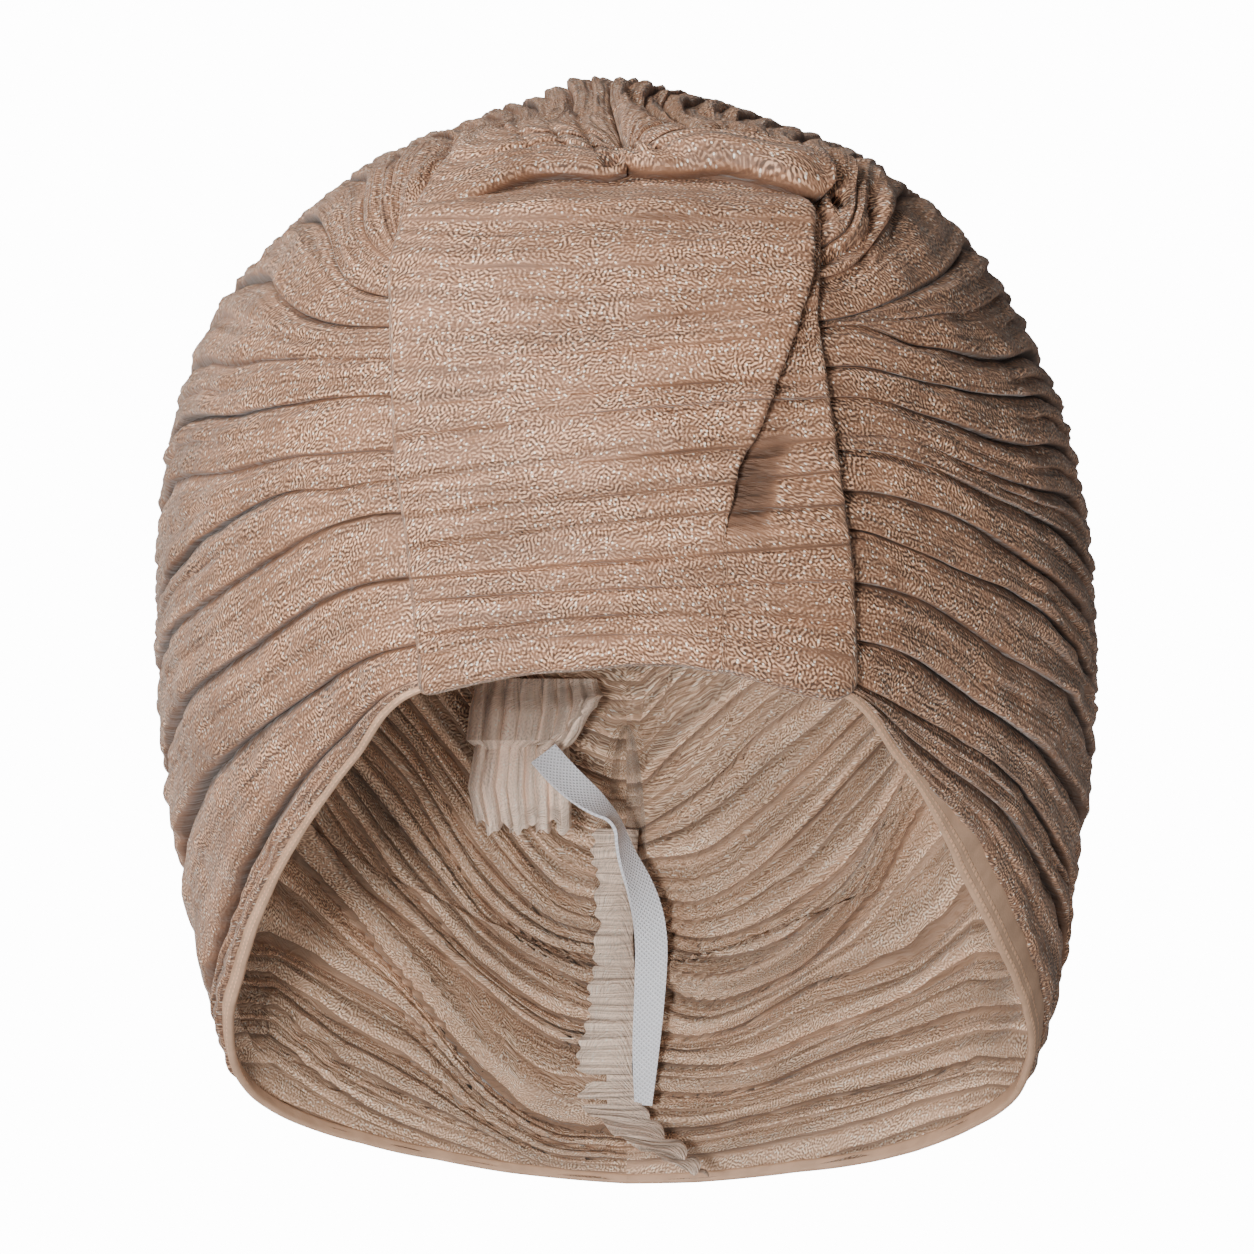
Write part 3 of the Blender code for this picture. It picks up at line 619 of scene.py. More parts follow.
def crown_place(side):
    """Where the cloth of one half lies, pleat by pleat."""
    form = FORMS[side]
    line, depth, valley_lift, crest_lift, lap = valley_lines(side, CROWN_COLUMNS)
    pleat = form.section_value(CROWN_COLUMNS, "pleat")
    front_share = 1 - smooth((CROWN_COLUMNS - 0.6) / 0.5)
    mirror = np.array([side, 1, 1])
    samples = [(k, s) for k in range(len(line) - 1) for s in PLEAT_SAMPLES] + [(len(line) - 2, 1.0)]
    place = np.repeat(CROWN_COLUMNS[:, None], len(samples), axis=1)
    height = np.empty(place.shape)
    plain_height = np.empty(place.shape)
    relief = np.empty(place.shape)
    strip = np.empty(place.shape)
    rows_up = np.empty(place.shape)
    for column, (k, s) in enumerate(samples):
        low_depth, high_depth = depth[k] * pleat, depth[k + 1] * pleat
        deep = np.clip(depth[k], 0, 1)
        hang = deep * LAP * (1 - 0.6 * front_share) + lap[k]
        tuck_low = TUCK * deep * LAP
        tuck_high = TUCK * np.clip(depth[k + 1], 0, 1) * LAP
        valley = valley_lift[k] - low_depth
        next_valley = valley_lift[k + 1] - high_depth
        crest = crest_lift[k]
        if s < CREST:
            part = s / CREST
            relief[:, column] = valley + (crest - valley) * math.sin(part * math.pi / 2)
            shift = tuck_low * (1 - part) - hang * math.sin(math.pi * min(part * 0.75, 1))
        else:
            part = (s - CREST) / (1 - CREST)
            relief[:, column] = crest + (next_valley - crest) * part**PLEAT_CURVE
            easing = max(1 - part * 2.2, 0) ** 2
            shift = -hang * math.sin(math.pi * 0.75) * easing + tuck_high * part**4
        plain_height[:, column] = line[k] + (line[k + 1] - line[k]) * s
        height[:, column] = plain_height[:, column] + shift / form.length(CROWN_COLUMNS)
        # Painted shade: the strip darkens and smooths the cloth just above each deep valley, under
        # the pleat's hanging edge, and more faintly just below the next valley.
        under_edge = 1 - smooth((s - 0.02) / 0.3)
        over_edge = 0.55 * smooth((s - 0.72) / 0.28)
        next_deep = np.clip(depth[k + 1], 0, 1)
        strip[:, column] = np.maximum(
            under_edge * smooth((deep - 0.2) / 0.5), over_edge * smooth((next_deep - 0.2) / 0.5)
        )
        rows_up[:, column] = k + s
    height = np.clip(height, 0, 1)
    height[:, 0] = 0.0
    height[:, -1] = 1.0
    base = form.point(place, height)
    normal = form.normal(place, height)
    facing = -normal[..., 1]
    free = smooth((place - 0.9) / 0.5)
    relief += free * 0.5 * wrinkles(base * np.array([1.0, 1.0, 2.2]), 9.0, 1 + side)
    ripples = wrinkles(np.stack([place * 5, rows_up * 1.9, 0 * place], axis=2), 1.0, 4 + side)
    relief += RIPPLE * (0.35 + 0.65 * free) * ripples
    near_seam = smooth((height - 0.93) / 0.06) + smooth((place - 7.6) / 0.35)
    relief += near_seam * 0.7 * wrinkles(base, 3.0, 7 + side)
    drawn = drawn_relief(side, base * mirror, facing)
    outer = base + normal * (relief + drawn)[..., None]
    sunk = np.minimum(relief, 0.0) + np.minimum(drawn, 0.0)
    back = form.point(place, plain_height)
    back_normal = form.normal(place, plain_height)
    swell, lines_down = inside_relief(side, back * mirror)
    at_back = smooth((back_normal[..., 1] - 0.02) / 0.25)
    swell = (swell + INSIDE_STANDOFF * pleat[:, None]) * smooth(plain_height / 0.05) * at_back
    inner = back + back_normal * (np.minimum(sunk, -swell) - WALL)[..., None]
    inner_cloth = cloth_coordinates(inner)
    for points in (outer, inner):
        on_plane = (height > 0.9995) | (place < 0.001) | (place > LAST - 0.001)
        points[..., 0] = np.where(on_plane, SEAM_GAP, np.maximum(points[..., 0], SEAM_GAP))
        points[..., 0] *= side
        leaning = smooth((points[..., 2] + 20) / 18) * smooth((20 - points[..., 1]) / 40)
        points[..., 0] -= SEAM_LEAN * leaning * np.exp(-((points[..., 0] / 22) ** 2))
    return (
        Layer(outer, cloth_coordinates(base), strip, rows_up),
        Layer(inner, inner_cloth, 0 * strip, lines_down),
    )


# Materials.


def new_group(name, inputs, outputs):
    """An empty node group with its sockets, its input node and its output node."""
    group = bpy.data.node_groups.new(name, "ShaderNodeTree")
    for label, kind, value in inputs:
        socket = group.interface.new_socket(label, in_out="INPUT", socket_type=kind)
        if value is not None:
            socket.default_value = value
    for label, kind in outputs:
        group.interface.new_socket(label, in_out="OUTPUT", socket_type=kind)
    return group, group.nodes.new("NodeGroupInput"), group.nodes.new("NodeGroupOutput")


def add_node(tree, kind, settings=None, **inputs):
    """A node with its settings, and its inputs set or linked by name."""
    node = tree.nodes.new(kind)
    for key, value in (settings or {}).items():
        setattr(node, key, value)
    for key, value in inputs.items():
        label = key.replace("_", " ")
        numbered = label[0] == "n" and label[1:].isdigit()
        socket = node.inputs[int(label[1:]) if numbered else label]
        if isinstance(value, bpy.types.NodeSocket):
            tree.links.new(value, socket)
        else:
            socket.default_value = value
    return node


def math_node(tree, operation, first, second=0.0):
    """One arithmetic step. Returns its output."""
    node = add_node(tree, "ShaderNodeMath", {"operation": operation}, n0=first, n1=second)
    return node.outputs[0]


def product(tree, first, second):
    """Two values multiplied."""
    return math_node(tree, "MULTIPLY", first, second)


def ramp(tree, value, low, high, start=0.0, end=1.0):
    """A value brought from one range to another, clamped and eased."""
    node = add_node(
        tree, "ShaderNodeMapRange", {"interpolation_type": "SMOOTHSTEP"},
        n0=value, n1=low, n2=high, n3=start, n4=end,
    )
    return node.outputs[0]


def mix_colour(tree, share, first, second):
    """Two colours mixed. Returns the output."""
    node = add_node(tree, "ShaderNodeMix", {"data_type": "RGBA"}, n0=share)
    for socket, value in ((node.inputs[6], first), (node.inputs[7], second)):
        if isinstance(value, bpy.types.NodeSocket):
            tree.links.new(value, socket)
        else:
            socket.default_value = value
    return node.outputs[2]


def cell_texture(tree, cloth, scale):
    """Random cells on the cloth."""
    settings = {"voronoi_dimensions": "2D"}
    return add_node(tree, "ShaderNodeTexVoronoi", settings, Vector=cloth, Scale=scale)


def knit_strands_group():
    """Fine metallic strands that wander over the knit, with glints and rare dark flecks."""
    group, start, end = new_group(
        "knit_strands",
        (("Cloth", "NodeSocketVector", None), ("Strip", "NodeSocketFloat", 0.0)),
        (
            ("Strands", "NodeSocketFloat"), ("Glints", "NodeSocketFloat"),
            ("Flecks", "NodeSocketFloat"), ("Relief", "NodeSocketFloat"),
            ("Tone", "NodeSocketFloat"), ("Gaps", "NodeSocketFloat"),
        ),
    )
    cloth = start.outputs["Cloth"]
    plain = ramp(group, start.outputs["Strip"], 0.65, 0.15)
    sway = add_node(group, "ShaderNodeTexNoise", Vector=cloth, Scale=1.3, Detail=2.0)
    turn = product(group, sway.outputs["Fac"], 9.0)
    worms = add_node(
        group, "ShaderNodeTexGabor", Vector=cloth, Scale=6.2, Frequency=2.0, Anisotropy=0.3, n4=turn
    )
    patch = add_node(group, "ShaderNodeTexNoise", Vector=cloth, Scale=0.9, Detail=3.0)
    amount = ramp(group, patch.outputs["Fac"], 0.36, 0.62, 0.5, 1.0)
    amount = product(group, amount, plain)
    lines = product(group, ramp(group, worms.outputs["Value"], 0.52, 0.61), amount)
    gaps = product(group, ramp(group, worms.outputs["Value"], 0.49, 0.38), amount)
    cells = cell_texture(group, cloth, 9.0)
    parts = add_node(group, "ShaderNodeSeparateColor", n0=cells.outputs["Color"])
    dots = ramp(group, cells.outputs["Distance"], 0.24, 0.12)
    rare = ramp(group, parts.outputs[0], 0.68, 0.72)
    glints = product(group, product(group, dots, rare), plain)
    specks = cell_texture(group, cloth, 0.55)
    chosen = add_node(group, "ShaderNodeSeparateColor", n0=specks.outputs["Color"])
    flecks = ramp(group, specks.outputs["Distance"], 0.014, 0.008)
    flecks = product(group, flecks, ramp(group, chosen.outputs[1], 0.5, 0.52))
    crinkle = add_node(
        group, "ShaderNodeTexNoise",
        Vector=add_node(group, "ShaderNodeMapping", Vector=cloth, Scale=(1.2, 4.5, 1.0)).outputs[0],
        Scale=2.2, Detail=2.0,
    )
    tone = add_node(group, "ShaderNodeTexNoise", Vector=cloth, Scale=0.35, Detail=3.0)
    for name, value in (
        ("Strands", lines), ("Glints", glints), ("Flecks", flecks), ("Gaps", gaps),
        ("Relief", crinkle.outputs["Fac"]), ("Tone", tone.outputs["Fac"]),
    ):
        group.links.new(value, end.inputs[name])
    return group


def pleat_lines_group():
    """Long fine lines that follow the pleats, the painted shade under each hanging pleat, and a
    painted shade slope that darkens each half pleat towards its top.
    """
    group, start, end = new_group(
        "pleat_lines",
        (("Cloth", "NodeSocketVector", None), ("Pleats", "NodeSocketFloat", 0.0)),
        (("Lines", "NodeSocketFloat"), ("Shade", "NodeSocketFloat"), ("Slope", "NodeSocketFloat")),
    )
    cloth = start.outputs["Cloth"]
    along = add_node(group, "ShaderNodeSeparateXYZ", n0=cloth).outputs[0]
    sway = add_node(group, "ShaderNodeTexNoise", Vector=cloth, Scale=0.6, Detail=1.0).outputs["Fac"]
    swayed = math_node(group, "ADD", start.outputs["Pleats"], product(group, sway, 0.16))
    stretched = add_node(
        group, "ShaderNodeCombineXYZ",
        n0=product(group, along, 0.13), n1=product(group, swayed, 3.4),
    )
    lines = add_node(group, "ShaderNodeTexNoise", Vector=stretched.outputs[0], Scale=1.0, Detail=3.0)
    shade = 0.0
    for per_pleat, strength in ((1.0, 1.0), (2.0, 0.75), (4.0, 0.3)):
        step = math_node(group, "FRACT", product(group, swayed, per_pleat))
        width = product(group, lines.outputs["Fac"], 0.26 * per_pleat**0.5)
        fall = ramp(group, math_node(group, "DIVIDE", step, width), 1.6, 0.2)
        shade = math_node(group, "MAXIMUM", shade, product(group, fall, strength))
    group.links.new(lines.outputs["Fac"], end.inputs["Lines"])
    group.links.new(shade, end.inputs["Shade"])
    # Painted shade slope: darker towards the top of each half pleat.
    halves = math_node(group, "FRACT", product(group, swayed, 2.0))
    group.links.new(math_node(group, "SUBTRACT", 1.0, halves), end.inputs["Slope"])
    return group


STITCHES_PER_CM = 5.0
STITCH_ROWS = (0.64, 0.86)


def new_material(name):
    """A material with its node tree and its shader."""
    material = bpy.data.materials.new(name)
    material.use_nodes = True
    return material, material.node_tree, material.node_tree.nodes["Principled BSDF"]


# How one kind of pleated cloth looks: its two tones, how dark the painted shade makes its smooth
# strips, how dark the gaps between strands are, how far its pleats shade each other with painted
# shade, and how strong its bumps are.
Knit = namedtuple("Knit", "dark light strip_share gap_share hang bump")
GLINT_COLOUR = (1.0, 0.91, 0.80, 1)
FLECK_COLOUR = (0.03, 0.025, 0.02, 1)


def scaled(colour, share):
    """A colour made darker, with its alpha."""
    return (*(channel * share for channel in colour[:3]), 1)


def pleated_material(name, look):
    """Crinkled knit in two tones, with its strands, glints and smooth fold strips darkened by
    painted shade.
    """
    material, tree, shader = new_material(name)
    cloth = add_node(tree, "ShaderNodeUVMap", {"uv_map": "cloth"}).outputs[0]
    strip = add_node(tree, "ShaderNodeAttribute", {"attribute_name": "strip"}).outputs["Fac"]
    pleats = add_node(tree, "ShaderNodeAttribute", {"attribute_name": "pleats"}).outputs["Fac"]
    groups = bpy.data.node_groups
    folds = add_node(
        tree, "ShaderNodeGroup", {"node_tree": groups["pleat_lines"]}, Cloth=cloth, Pleats=pleats
    )
    # Painted shade under each hanging pleat, which also darkens the smooth strips.
    shade = product(tree, folds.outputs["Shade"], look.hang)
    strip = math_node(tree, "MAXIMUM", strip, product(tree, shade, 0.8))
    knit = add_node(
        tree, "ShaderNodeGroup", {"node_tree": groups["knit_strands"]}, Cloth=cloth, Strip=strip
    )
    tone = ramp(tree, knit.outputs["Tone"], 0.3, 0.7, 0.88, 1.1)
    # Painted light and shade of the fine wrinkles along the pleats, lighter and darker along the
    # lines.
    wrinkle_shade = ramp(tree, folds.outputs["Lines"], 0.36, 0.62, 0.72, 1.12)
    slope_shade = product(tree, folds.outputs["Slope"], -0.34 * look.hang)
    tone = product(tree, tone, math_node(tree, "ADD", wrinkle_shade, slope_shade))
    dark = scaled(look.dark, 1)
    # The strip mask's painted shade darkens the ground.
    ground = mix_colour(tree, ramp(tree, strip, 0.3, 1.0), dark, scaled(dark, look.strip_share))
    ground = mix_colour(tree, knit.outputs["Gaps"], ground, scaled(dark, look.gap_share))
    ground = mix_colour(tree, knit.outputs["Strands"], ground, scaled(look.light, 1))
    glinting = mix_colour(tree, knit.outputs["Glints"], ground, GLINT_COLOUR)
    flecked = mix_colour(tree, knit.outputs["Flecks"], glinting, FLECK_COLOUR)
    toned = add_node(tree, "ShaderNodeVectorMath", {"operation": "SCALE"}, n0=flecked, Scale=tone)
    tree.links.new(toned.outputs[0], shader.inputs["Base Color"])
    rough = ramp(tree, knit.outputs["Glints"], 0.0, 1.0, 0.62, 0.25)
    tree.links.new(rough, shader.inputs["Roughness"])
    height = product(tree, folds.outputs["Lines"], 2.2)
    height = math_node(tree, "SUBTRACT", height, product(tree, shade, 0.5))
    height = math_node(tree, "ADD", height, knit.outputs["Relief"])
    lift = add_node(tree, "ShaderNodeBump", Strength=look.bump, Distance=0.001, Height=height)
    tree.links.new(lift.outputs[0], shader.inputs["Normal"])
    shader.inputs["Sheen Weight"].default_value = 0.15
    shader.inputs["Sheen Roughness"].default_value = 0.4
    return material


def stitched_hem_material(name, colour, thread):
    """Smooth turned cloth with two dashed rows of stitches along its edge."""
    material, tree, shader = new_material(name)
    cloth = add_node(tree, "ShaderNodeUVMap", {"uv_map": "cloth"}).outputs[0]
    across = add_node(tree, "ShaderNodeAttribute", {"attribute_name": "strip"}).outputs["Fac"]
    along = add_node(tree, "ShaderNodeSeparateXYZ", n0=cloth).outputs[0]
    beat = math_node(tree, "FRACT", product(tree, along, STITCHES_PER_CM))
    off_beat = math_node(tree, "ABSOLUTE", math_node(tree, "SUBTRACT", beat, 0.5))
    dash = ramp(tree, off_beat, 0.36, 0.26)
    rows = 0.0
    for height in STITCH_ROWS:
        off = math_node(tree, "ABSOLUTE", math_node(tree, "SUBTRACT", across, height))
        rows = math_node(tree, "MAXIMUM", rows, ramp(tree, off, 0.055, 0.03))
    stitches = product(tree, dash, rows)
    patch = add_node(tree, "ShaderNodeTexNoise", Vector=cloth, Scale=2.0, Detail=4.0)
    patches = ramp(tree, patch.outputs["Fac"], 0.35, 0.65)
    ground = mix_colour(tree, patches, scaled(colour, 1), scaled(colour, 0.85))
    sewn = mix_colour(tree, stitches, ground, scaled(thread, 1))
    tree.links.new(sewn, shader.inputs["Base Color"])
    grain = add_node(tree, "ShaderNodeTexNoise", Vector=cloth, Scale=18.0, Detail=2.0)
    height = math_node(tree, "ADD", product(tree, grain.outputs["Fac"], 0.3), stitches)
    lift = add_node(tree, "ShaderNodeBump", Strength=0.5, Distance=0.0004, Height=height)
    tree.links.new(lift.outputs[0], shader.inputs["Normal"])
    shader.inputs["Roughness"].default_value = 0.6
    return material


def elastic_material(name, thread):
    """Knitted elastic: a fine diamond net of bluish white thread."""
    material, tree, shader = new_material(name)
    cloth = add_node(tree, "ShaderNodeUVMap", {"uv_map": "cloth"}).outputs[0]
    waves = []
    for turn in (math.pi / 4, -math.pi / 4):
        turned = add_node(tree, "ShaderNodeMapping", Vector=cloth, Rotation=(0, 0, turn)).outputs[0]
        waves.append(add_node(tree, "ShaderNodeTexWave", Vector=turned, Scale=4.4).outputs["Fac"])
    net = math_node(tree, "MAXIMUM", waves[0], waves[1])
    woven = mix_colour(tree, ramp(tree, net, 0.3, 0.75), scaled(thread, 0.8), scaled(thread, 1))
    tree.links.new(woven, shader.inputs["Base Color"])
    lift = add_node(tree, "ShaderNodeBump", Strength=0.6, Distance=0.0004, Height=net)
    tree.links.new(lift.outputs[0], shader.inputs["Normal"])
    shader.inputs["Roughness"].default_value = 0.7
    return material


# The front band.

# One row per pleat line on the band, top to bottom: its height at the left edge, on the
# centre line and at the right edge.
BAND_LINES = (
    (-26.5, -18.8, -25.5), (-32.6, -33.6, -33), (-40.6, -41.2, -37.5), (-50.9, -50.6, -45),
    (-56.4, -55.4, -50.6), (-65.8, -62.4, -59.8), (-71, -66, -63), (-79.4, -75, -71),
    (-86, -81.5, -77), (-92.3, -86.5, -83.5), (-97.5, -94, -91), (-101.7, -99, -97.6),
    (-109, -104, -105.5), (-112.5, -107.5, -112),
)
# The band's bottom: the height of its turned edge at each x.
BAND_FOOT_X = (-39, -28, -18, 0, 10, 13, 22, 31, 39, 43)
BAND_FOOT_Z = (-115.5, -113, -111.3, -109.8, -109.8, -110.4, -112, -114.6, -116.6, -115)
# The band's two side edges, by height.
BAND_EDGE_Z = (-112, -94, -70, -48, -40, -30, -21)
BAND_EDGE_LEFT = (-38.5, -40.5, -42.3, -43, -43.4, -41, -26)
BAND_EDGE_RIGHT = (42.6, 42, 38.6, 35.5, 36, 36.4, 33)
FOLD_EDGE_Z = (-89, -80, -76.5, -69, -61, -53, -44, -36, -30)  # the slanting fold, by height
FOLD_EDGE_X = (18, 19, 19.3, 23.5, 26.4, 29.5, 32.5, 34.8, 36)
FOLD_LAP = 7.0  # how far the cloth goes back under the slanting fold
FOLD_FADE = (-92.0, -76.0)  # the fold opens between these heights
BAND_DIVES_FROM = 31.0  # how far down the band sinks under the lapping crown cloth
BAND_LOW, BAND_HIGH = 1.6, 4.4  # heights of the under and upper layers' middles over the form
BAND_HALF = 0.45  # half the cloth's thickness
BAND_RELIEF = 1.4
BAND_SAMPLES = (0.0, 0.12, 0.3, 0.5, 0.68, 0.8, 0.92)
BAND_CREST = 0.24  # where a pleat is highest, as a share of the way up from its lower line
BAND_INNER = -5.0  # height over the form of the cloth that goes up inside
BAND_TURNS = 10
BAND_RETURN = 24.0  # how far up inside it goes
BAND_RETURN_ROWS = 12
BAND_SINK = 4.6  # how far the band's top dives
BAND_REACH = 42.0  # half the width that the pleat lines are drawn over
UPPER_COLUMNS, UNDER_COLUMNS = 44, 26


def form_tree(first, last):
    """The smooth form between two places as a search tree, for laying cloth on it."""
    points, faces = [], []
    place = np.linspace(first, last, 61)
    height = np.linspace(0, 1, 101)
    grid_place, grid_height = np.meshgrid(place, height, indexing="ij")
    for side in (-1, 1):
        start = len(points)
        table = FORMS[side].point(grid_place, grid_height) * np.array([side, 1, 1])
        points.extend(Vector(point) for point in table.reshape(-1, 3))
        for i in range(len(place) - 1):
            for j in range(len(height) - 1):
                a = start + i * len(height) + j
                faces.append((a, a + len(height), a + len(height) + 1, a + 1))
    return BVHTree.FromPolygons(points, faces)


def lay_on_front(tree, x, z):
    """The form's point and outward normal straight behind each x and z."""
    points = np.empty(x.shape + (3,))
    normals = np.empty(x.shape + (3,))
    for index in np.ndindex(x.shape):
        start = Vector((x[index], -300, z[index]))
        hit, normal, _, _ = tree.ray_cast(start, Vector((0, 1, 0)))
        if hit is None:
            hit, normal, _, _ = tree.find_nearest(Vector((x[index], -100, z[index])))
        points[index] = hit
        normals[index] = normal if normal.y < 0 else -normal
    return points, normals


def band_rows():
    """Each grid row of the band's front: two neighbouring lines and the share between them."""
    rows = [(k, s) for k in range(len(BAND_LINES) - 1) for s in BAND_SAMPLES]
    return rows + [(len(BAND_LINES) - 2, 1.0)]


def band_line_height(k, across):
    """A pleat line's height at a share across the band."""
    left, middle, right = BAND_LINES[k]
    return (
        left * (1 - across) * (1 - 2 * across)
        + middle * 4 * across * (1 - across)
        + right * across * (2 * across - 1)
    )


def band_columns():
    """Each grid column: which part of the folded sheet it is on, and its share there."""
    columns = [("upper", share) for share in np.linspace(0, 1, UPPER_COLUMNS)]
    columns += [("turn", share) for share in (0.25, 0.5, 0.75)]
    columns += [("back", share) for share in (0.0, 0.33, 0.66, 1.0)]
    columns += [("turn_again", share) for share in (0.33, 0.66)]
    columns += [("under", share) for share in np.linspace(0, 1, UNDER_COLUMNS)]
    return columns


def edge_easing(distance):
    """Columns are closer together where the band's edge rounds off."""
    return distance * distance * (3 - 2 * distance) * 0.35 + distance * 0.65


def band_place():
    """The band's cloth: down the front, round the face edge and up again inside."""
    tree = form_tree(0, 3)
    columns, rows = band_columns(), band_rows()
    shape = (len(columns), len(rows))
    rows_down = np.broadcast_to(np.array([k + s for k, s in rows]), shape)
    x, z = np.empty(shape), np.empty(shape)
    level, turned = np.empty(shape), np.zeros(shape)
    edge = np.ones(shape)
    relief = np.empty(shape)
    strip = np.zeros(shape)
    for r, (k, s) in enumerate(rows):
        step = 1 - s
        if step < BAND_CREST:
            relief[:, r] = BAND_RELIEF * math.sin(step / BAND_CREST * math.pi / 2)
        else:
            relief[:, r] = BAND_RELIEF * (1 - ((step - BAND_CREST) / (1 - BAND_CREST)) ** 1.2)
        # Painted shade: a dark strip along each pleat line, under the edge of the pleat above.
        strip[:, r] = 0.75 * smooth(1 - abs(step - 0.05) / 0.16)
    for c, (part, share) in enumerate(columns):
        x[c] = -40 + 80 * c / len(columns)
        for _ in range(3):
            across = np.clip((x[c] + BAND_REACH) / (2 * BAND_REACH), 0, 1)
            for r, (k, s) in enumerate(rows):
                low = band_line_height(k, across[r])
                z[c, r] = low + (band_line_height(k + 1, across[r]) - low) * s
            left = np.interp(z[c], BAND_EDGE_Z, BAND_EDGE_LEFT)
            right = np.interp(z[c], BAND_EDGE_Z, BAND_EDGE_RIGHT)
            fold = np.minimum(np.interp(z[c], FOLD_EDGE_Z, FOLD_EDGE_X), right - 2.5)
            open_share = smooth((z[c] - FOLD_FADE[0]) / (FOLD_FADE[1] - FOLD_FADE[0]))
            lap = FOLD_LAP * open_share
            gap = (BAND_HIGH - BAND_LOW) * open_share
            if part == "upper":
                x[c] = left + (fold - 0.4 - left) * edge_easing(share)
                level[c] = BAND_LOW + gap
            elif part == "turn":
                x[c] = fold - 0.4 + 0.2 * share + 0.55 * open_share * math.sin(math.pi * share)
                level[c] = BAND_LOW + gap * (1 - 0.5 * (1 - math.cos(math.pi * share)) * 0.5)
                turned[c] = math.pi * share * open_share
            elif part == "back":
                x[c] = fold - 0.1 + 0.2 * share - (lap + 0.3) * share
                level[c] = BAND_LOW + gap * 0.5
                turned[c] = math.pi * open_share
            elif part == "turn_again":
                x[c] = fold + 0.2 + 0.2 * share - lap - 0.4 * open_share * math.sin(math.pi * share)
                level[c] = BAND_LOW + gap * 0.5 * (1 - share)
                turned[c] = math.pi * open_share * (1 - share)
            else:
                start = fold + 0.5 - lap
                x[c] = start + (right - start) * (1 - edge_easing(1 - share))
                from_fold = np.maximum(x[c] - fold, 0)
                level[c] = BAND_LOW - 0.7 * open_share * np.exp(-from_fold / 6)
                # Painted shade on the under layer: a shadow beside the slanting fold, and lower down
                # a patch that is both bare of strands and painted darker.
                shadow = open_share * np.exp(-((from_fold / 4.5) ** 2))
                bare_and_shaded = np.exp(-(((from_fold - 4) / 5) ** 4)) * np.exp(-(((z[c] + 79) / 11) ** 4))
                strip[c] = np.maximum(strip[c], np.maximum(0.5 * shadow, 0.85 * bare_and_shaded))
        from_edge = np.minimum(x[c] - left, right - x[c])
        edge[c] = np.sqrt(np.clip(1 - (1 - np.clip(from_edge / 1.1, 0, 1)) ** 2, 0, 1))
    base, normal = lay_on_front(tree, x, z)
    wave = 0.35 * wrinkles(base * np.array([1, 1, 3.0]), 12.0, 12)
    uneven = 0.75 + 0.6 * wrinkles(np.stack([x, 0 * x, rows_down * 9.0], axis=2), 26.0, 17)
    ripples = wrinkles(np.stack([x / 15, rows_down * 2.3, 0 * x], axis=2), 1.0, 23)
    relief = (relief * uneven + RIPPLE * 0.8 * ripples) * edge
    strip *= np.clip(uneven + 0.5 * ripples, 0.15, 1.2)
    top = BAND_SINK * smooth((z + BAND_DIVES_FROM) / 9)
    middle_level = level * (0.8 + 0.2 * edge) + relief + wave * edge - top
    sideways = np.array([1.0, 0.0, 0.0])
    facing = normal * np.cos(turned)[..., None] + sideways * np.sin(turned)[..., None]
    middle_surface = base + normal * middle_level[..., None]
    front_outer = middle_surface + facing * BAND_HALF
    front_inner = middle_surface - facing * BAND_HALF
    foot_x = x[:, -1]
    foot_z = np.interp(foot_x, BAND_FOOT_X, BAND_FOOT_Z)
    outer, inner = [front_outer], [front_inner]
    foot_base, foot_normal = lay_on_front(tree, foot_x, foot_z)
    last_level = middle_level[:, -1]
    radius = (last_level - BAND_INNER) / 2
    centre = (last_level + BAND_INNER) / 2
    for step in range(1, BAND_TURNS + 1):
        turn = math.pi * step / BAND_TURNS
        for layers, half in ((outer, BAND_HALF), (inner, -BAND_HALF)):
            off = centre + (radius + half) * math.cos(turn)
            drop = (radius + half) * math.sin(turn)
            point = foot_base + foot_normal * off[:, None]
            point[:, 2] -= drop
            layers.append(point[:, None])
    for step in range(1, BAND_RETURN_ROWS + 1):
        rise = BAND_RETURN * step / BAND_RETURN_ROWS
        back, back_normal = lay_on_front(tree, foot_x, foot_z + rise)
        fold = 0.35 * np.sin(foot_x * 1.1 + 0.2 * step)
        for layers, half in ((outer, BAND_HALF), (inner, -BAND_HALF)):
            off = BAND_INNER - half + fold
            layers.append((back + back_normal * off[:, None])[:, None])
    outer = np.concatenate(outer, axis=1)
    inner = np.concatenate(inner, axis=1)
    extra = BAND_TURNS + BAND_RETURN_ROWS
    strip = np.concatenate([strip, np.zeros((len(columns), extra))], axis=1)
    last_rows = rows_down[:, -1:] + np.arange(1, extra + 1) / 6
    pleats = np.concatenate([rows_down, last_rows], axis=1)
    return both_layers(outer, inner, cloth_coordinates((outer + inner) / 2), strip, pleats)


# Hems, frills and elastic.

HEM_START = 1.0  # the place beside the band where both hems start
HEM_COLUMNS, HEM_ROWS = 300, 12
HEM_TUCK = 1.6  # how far the hem reaches up behind the lowest pleat
HEM_THICK = 0.8
STITCHES_END = 5.6  # the place past which the stitches are hidden in the nape's fold


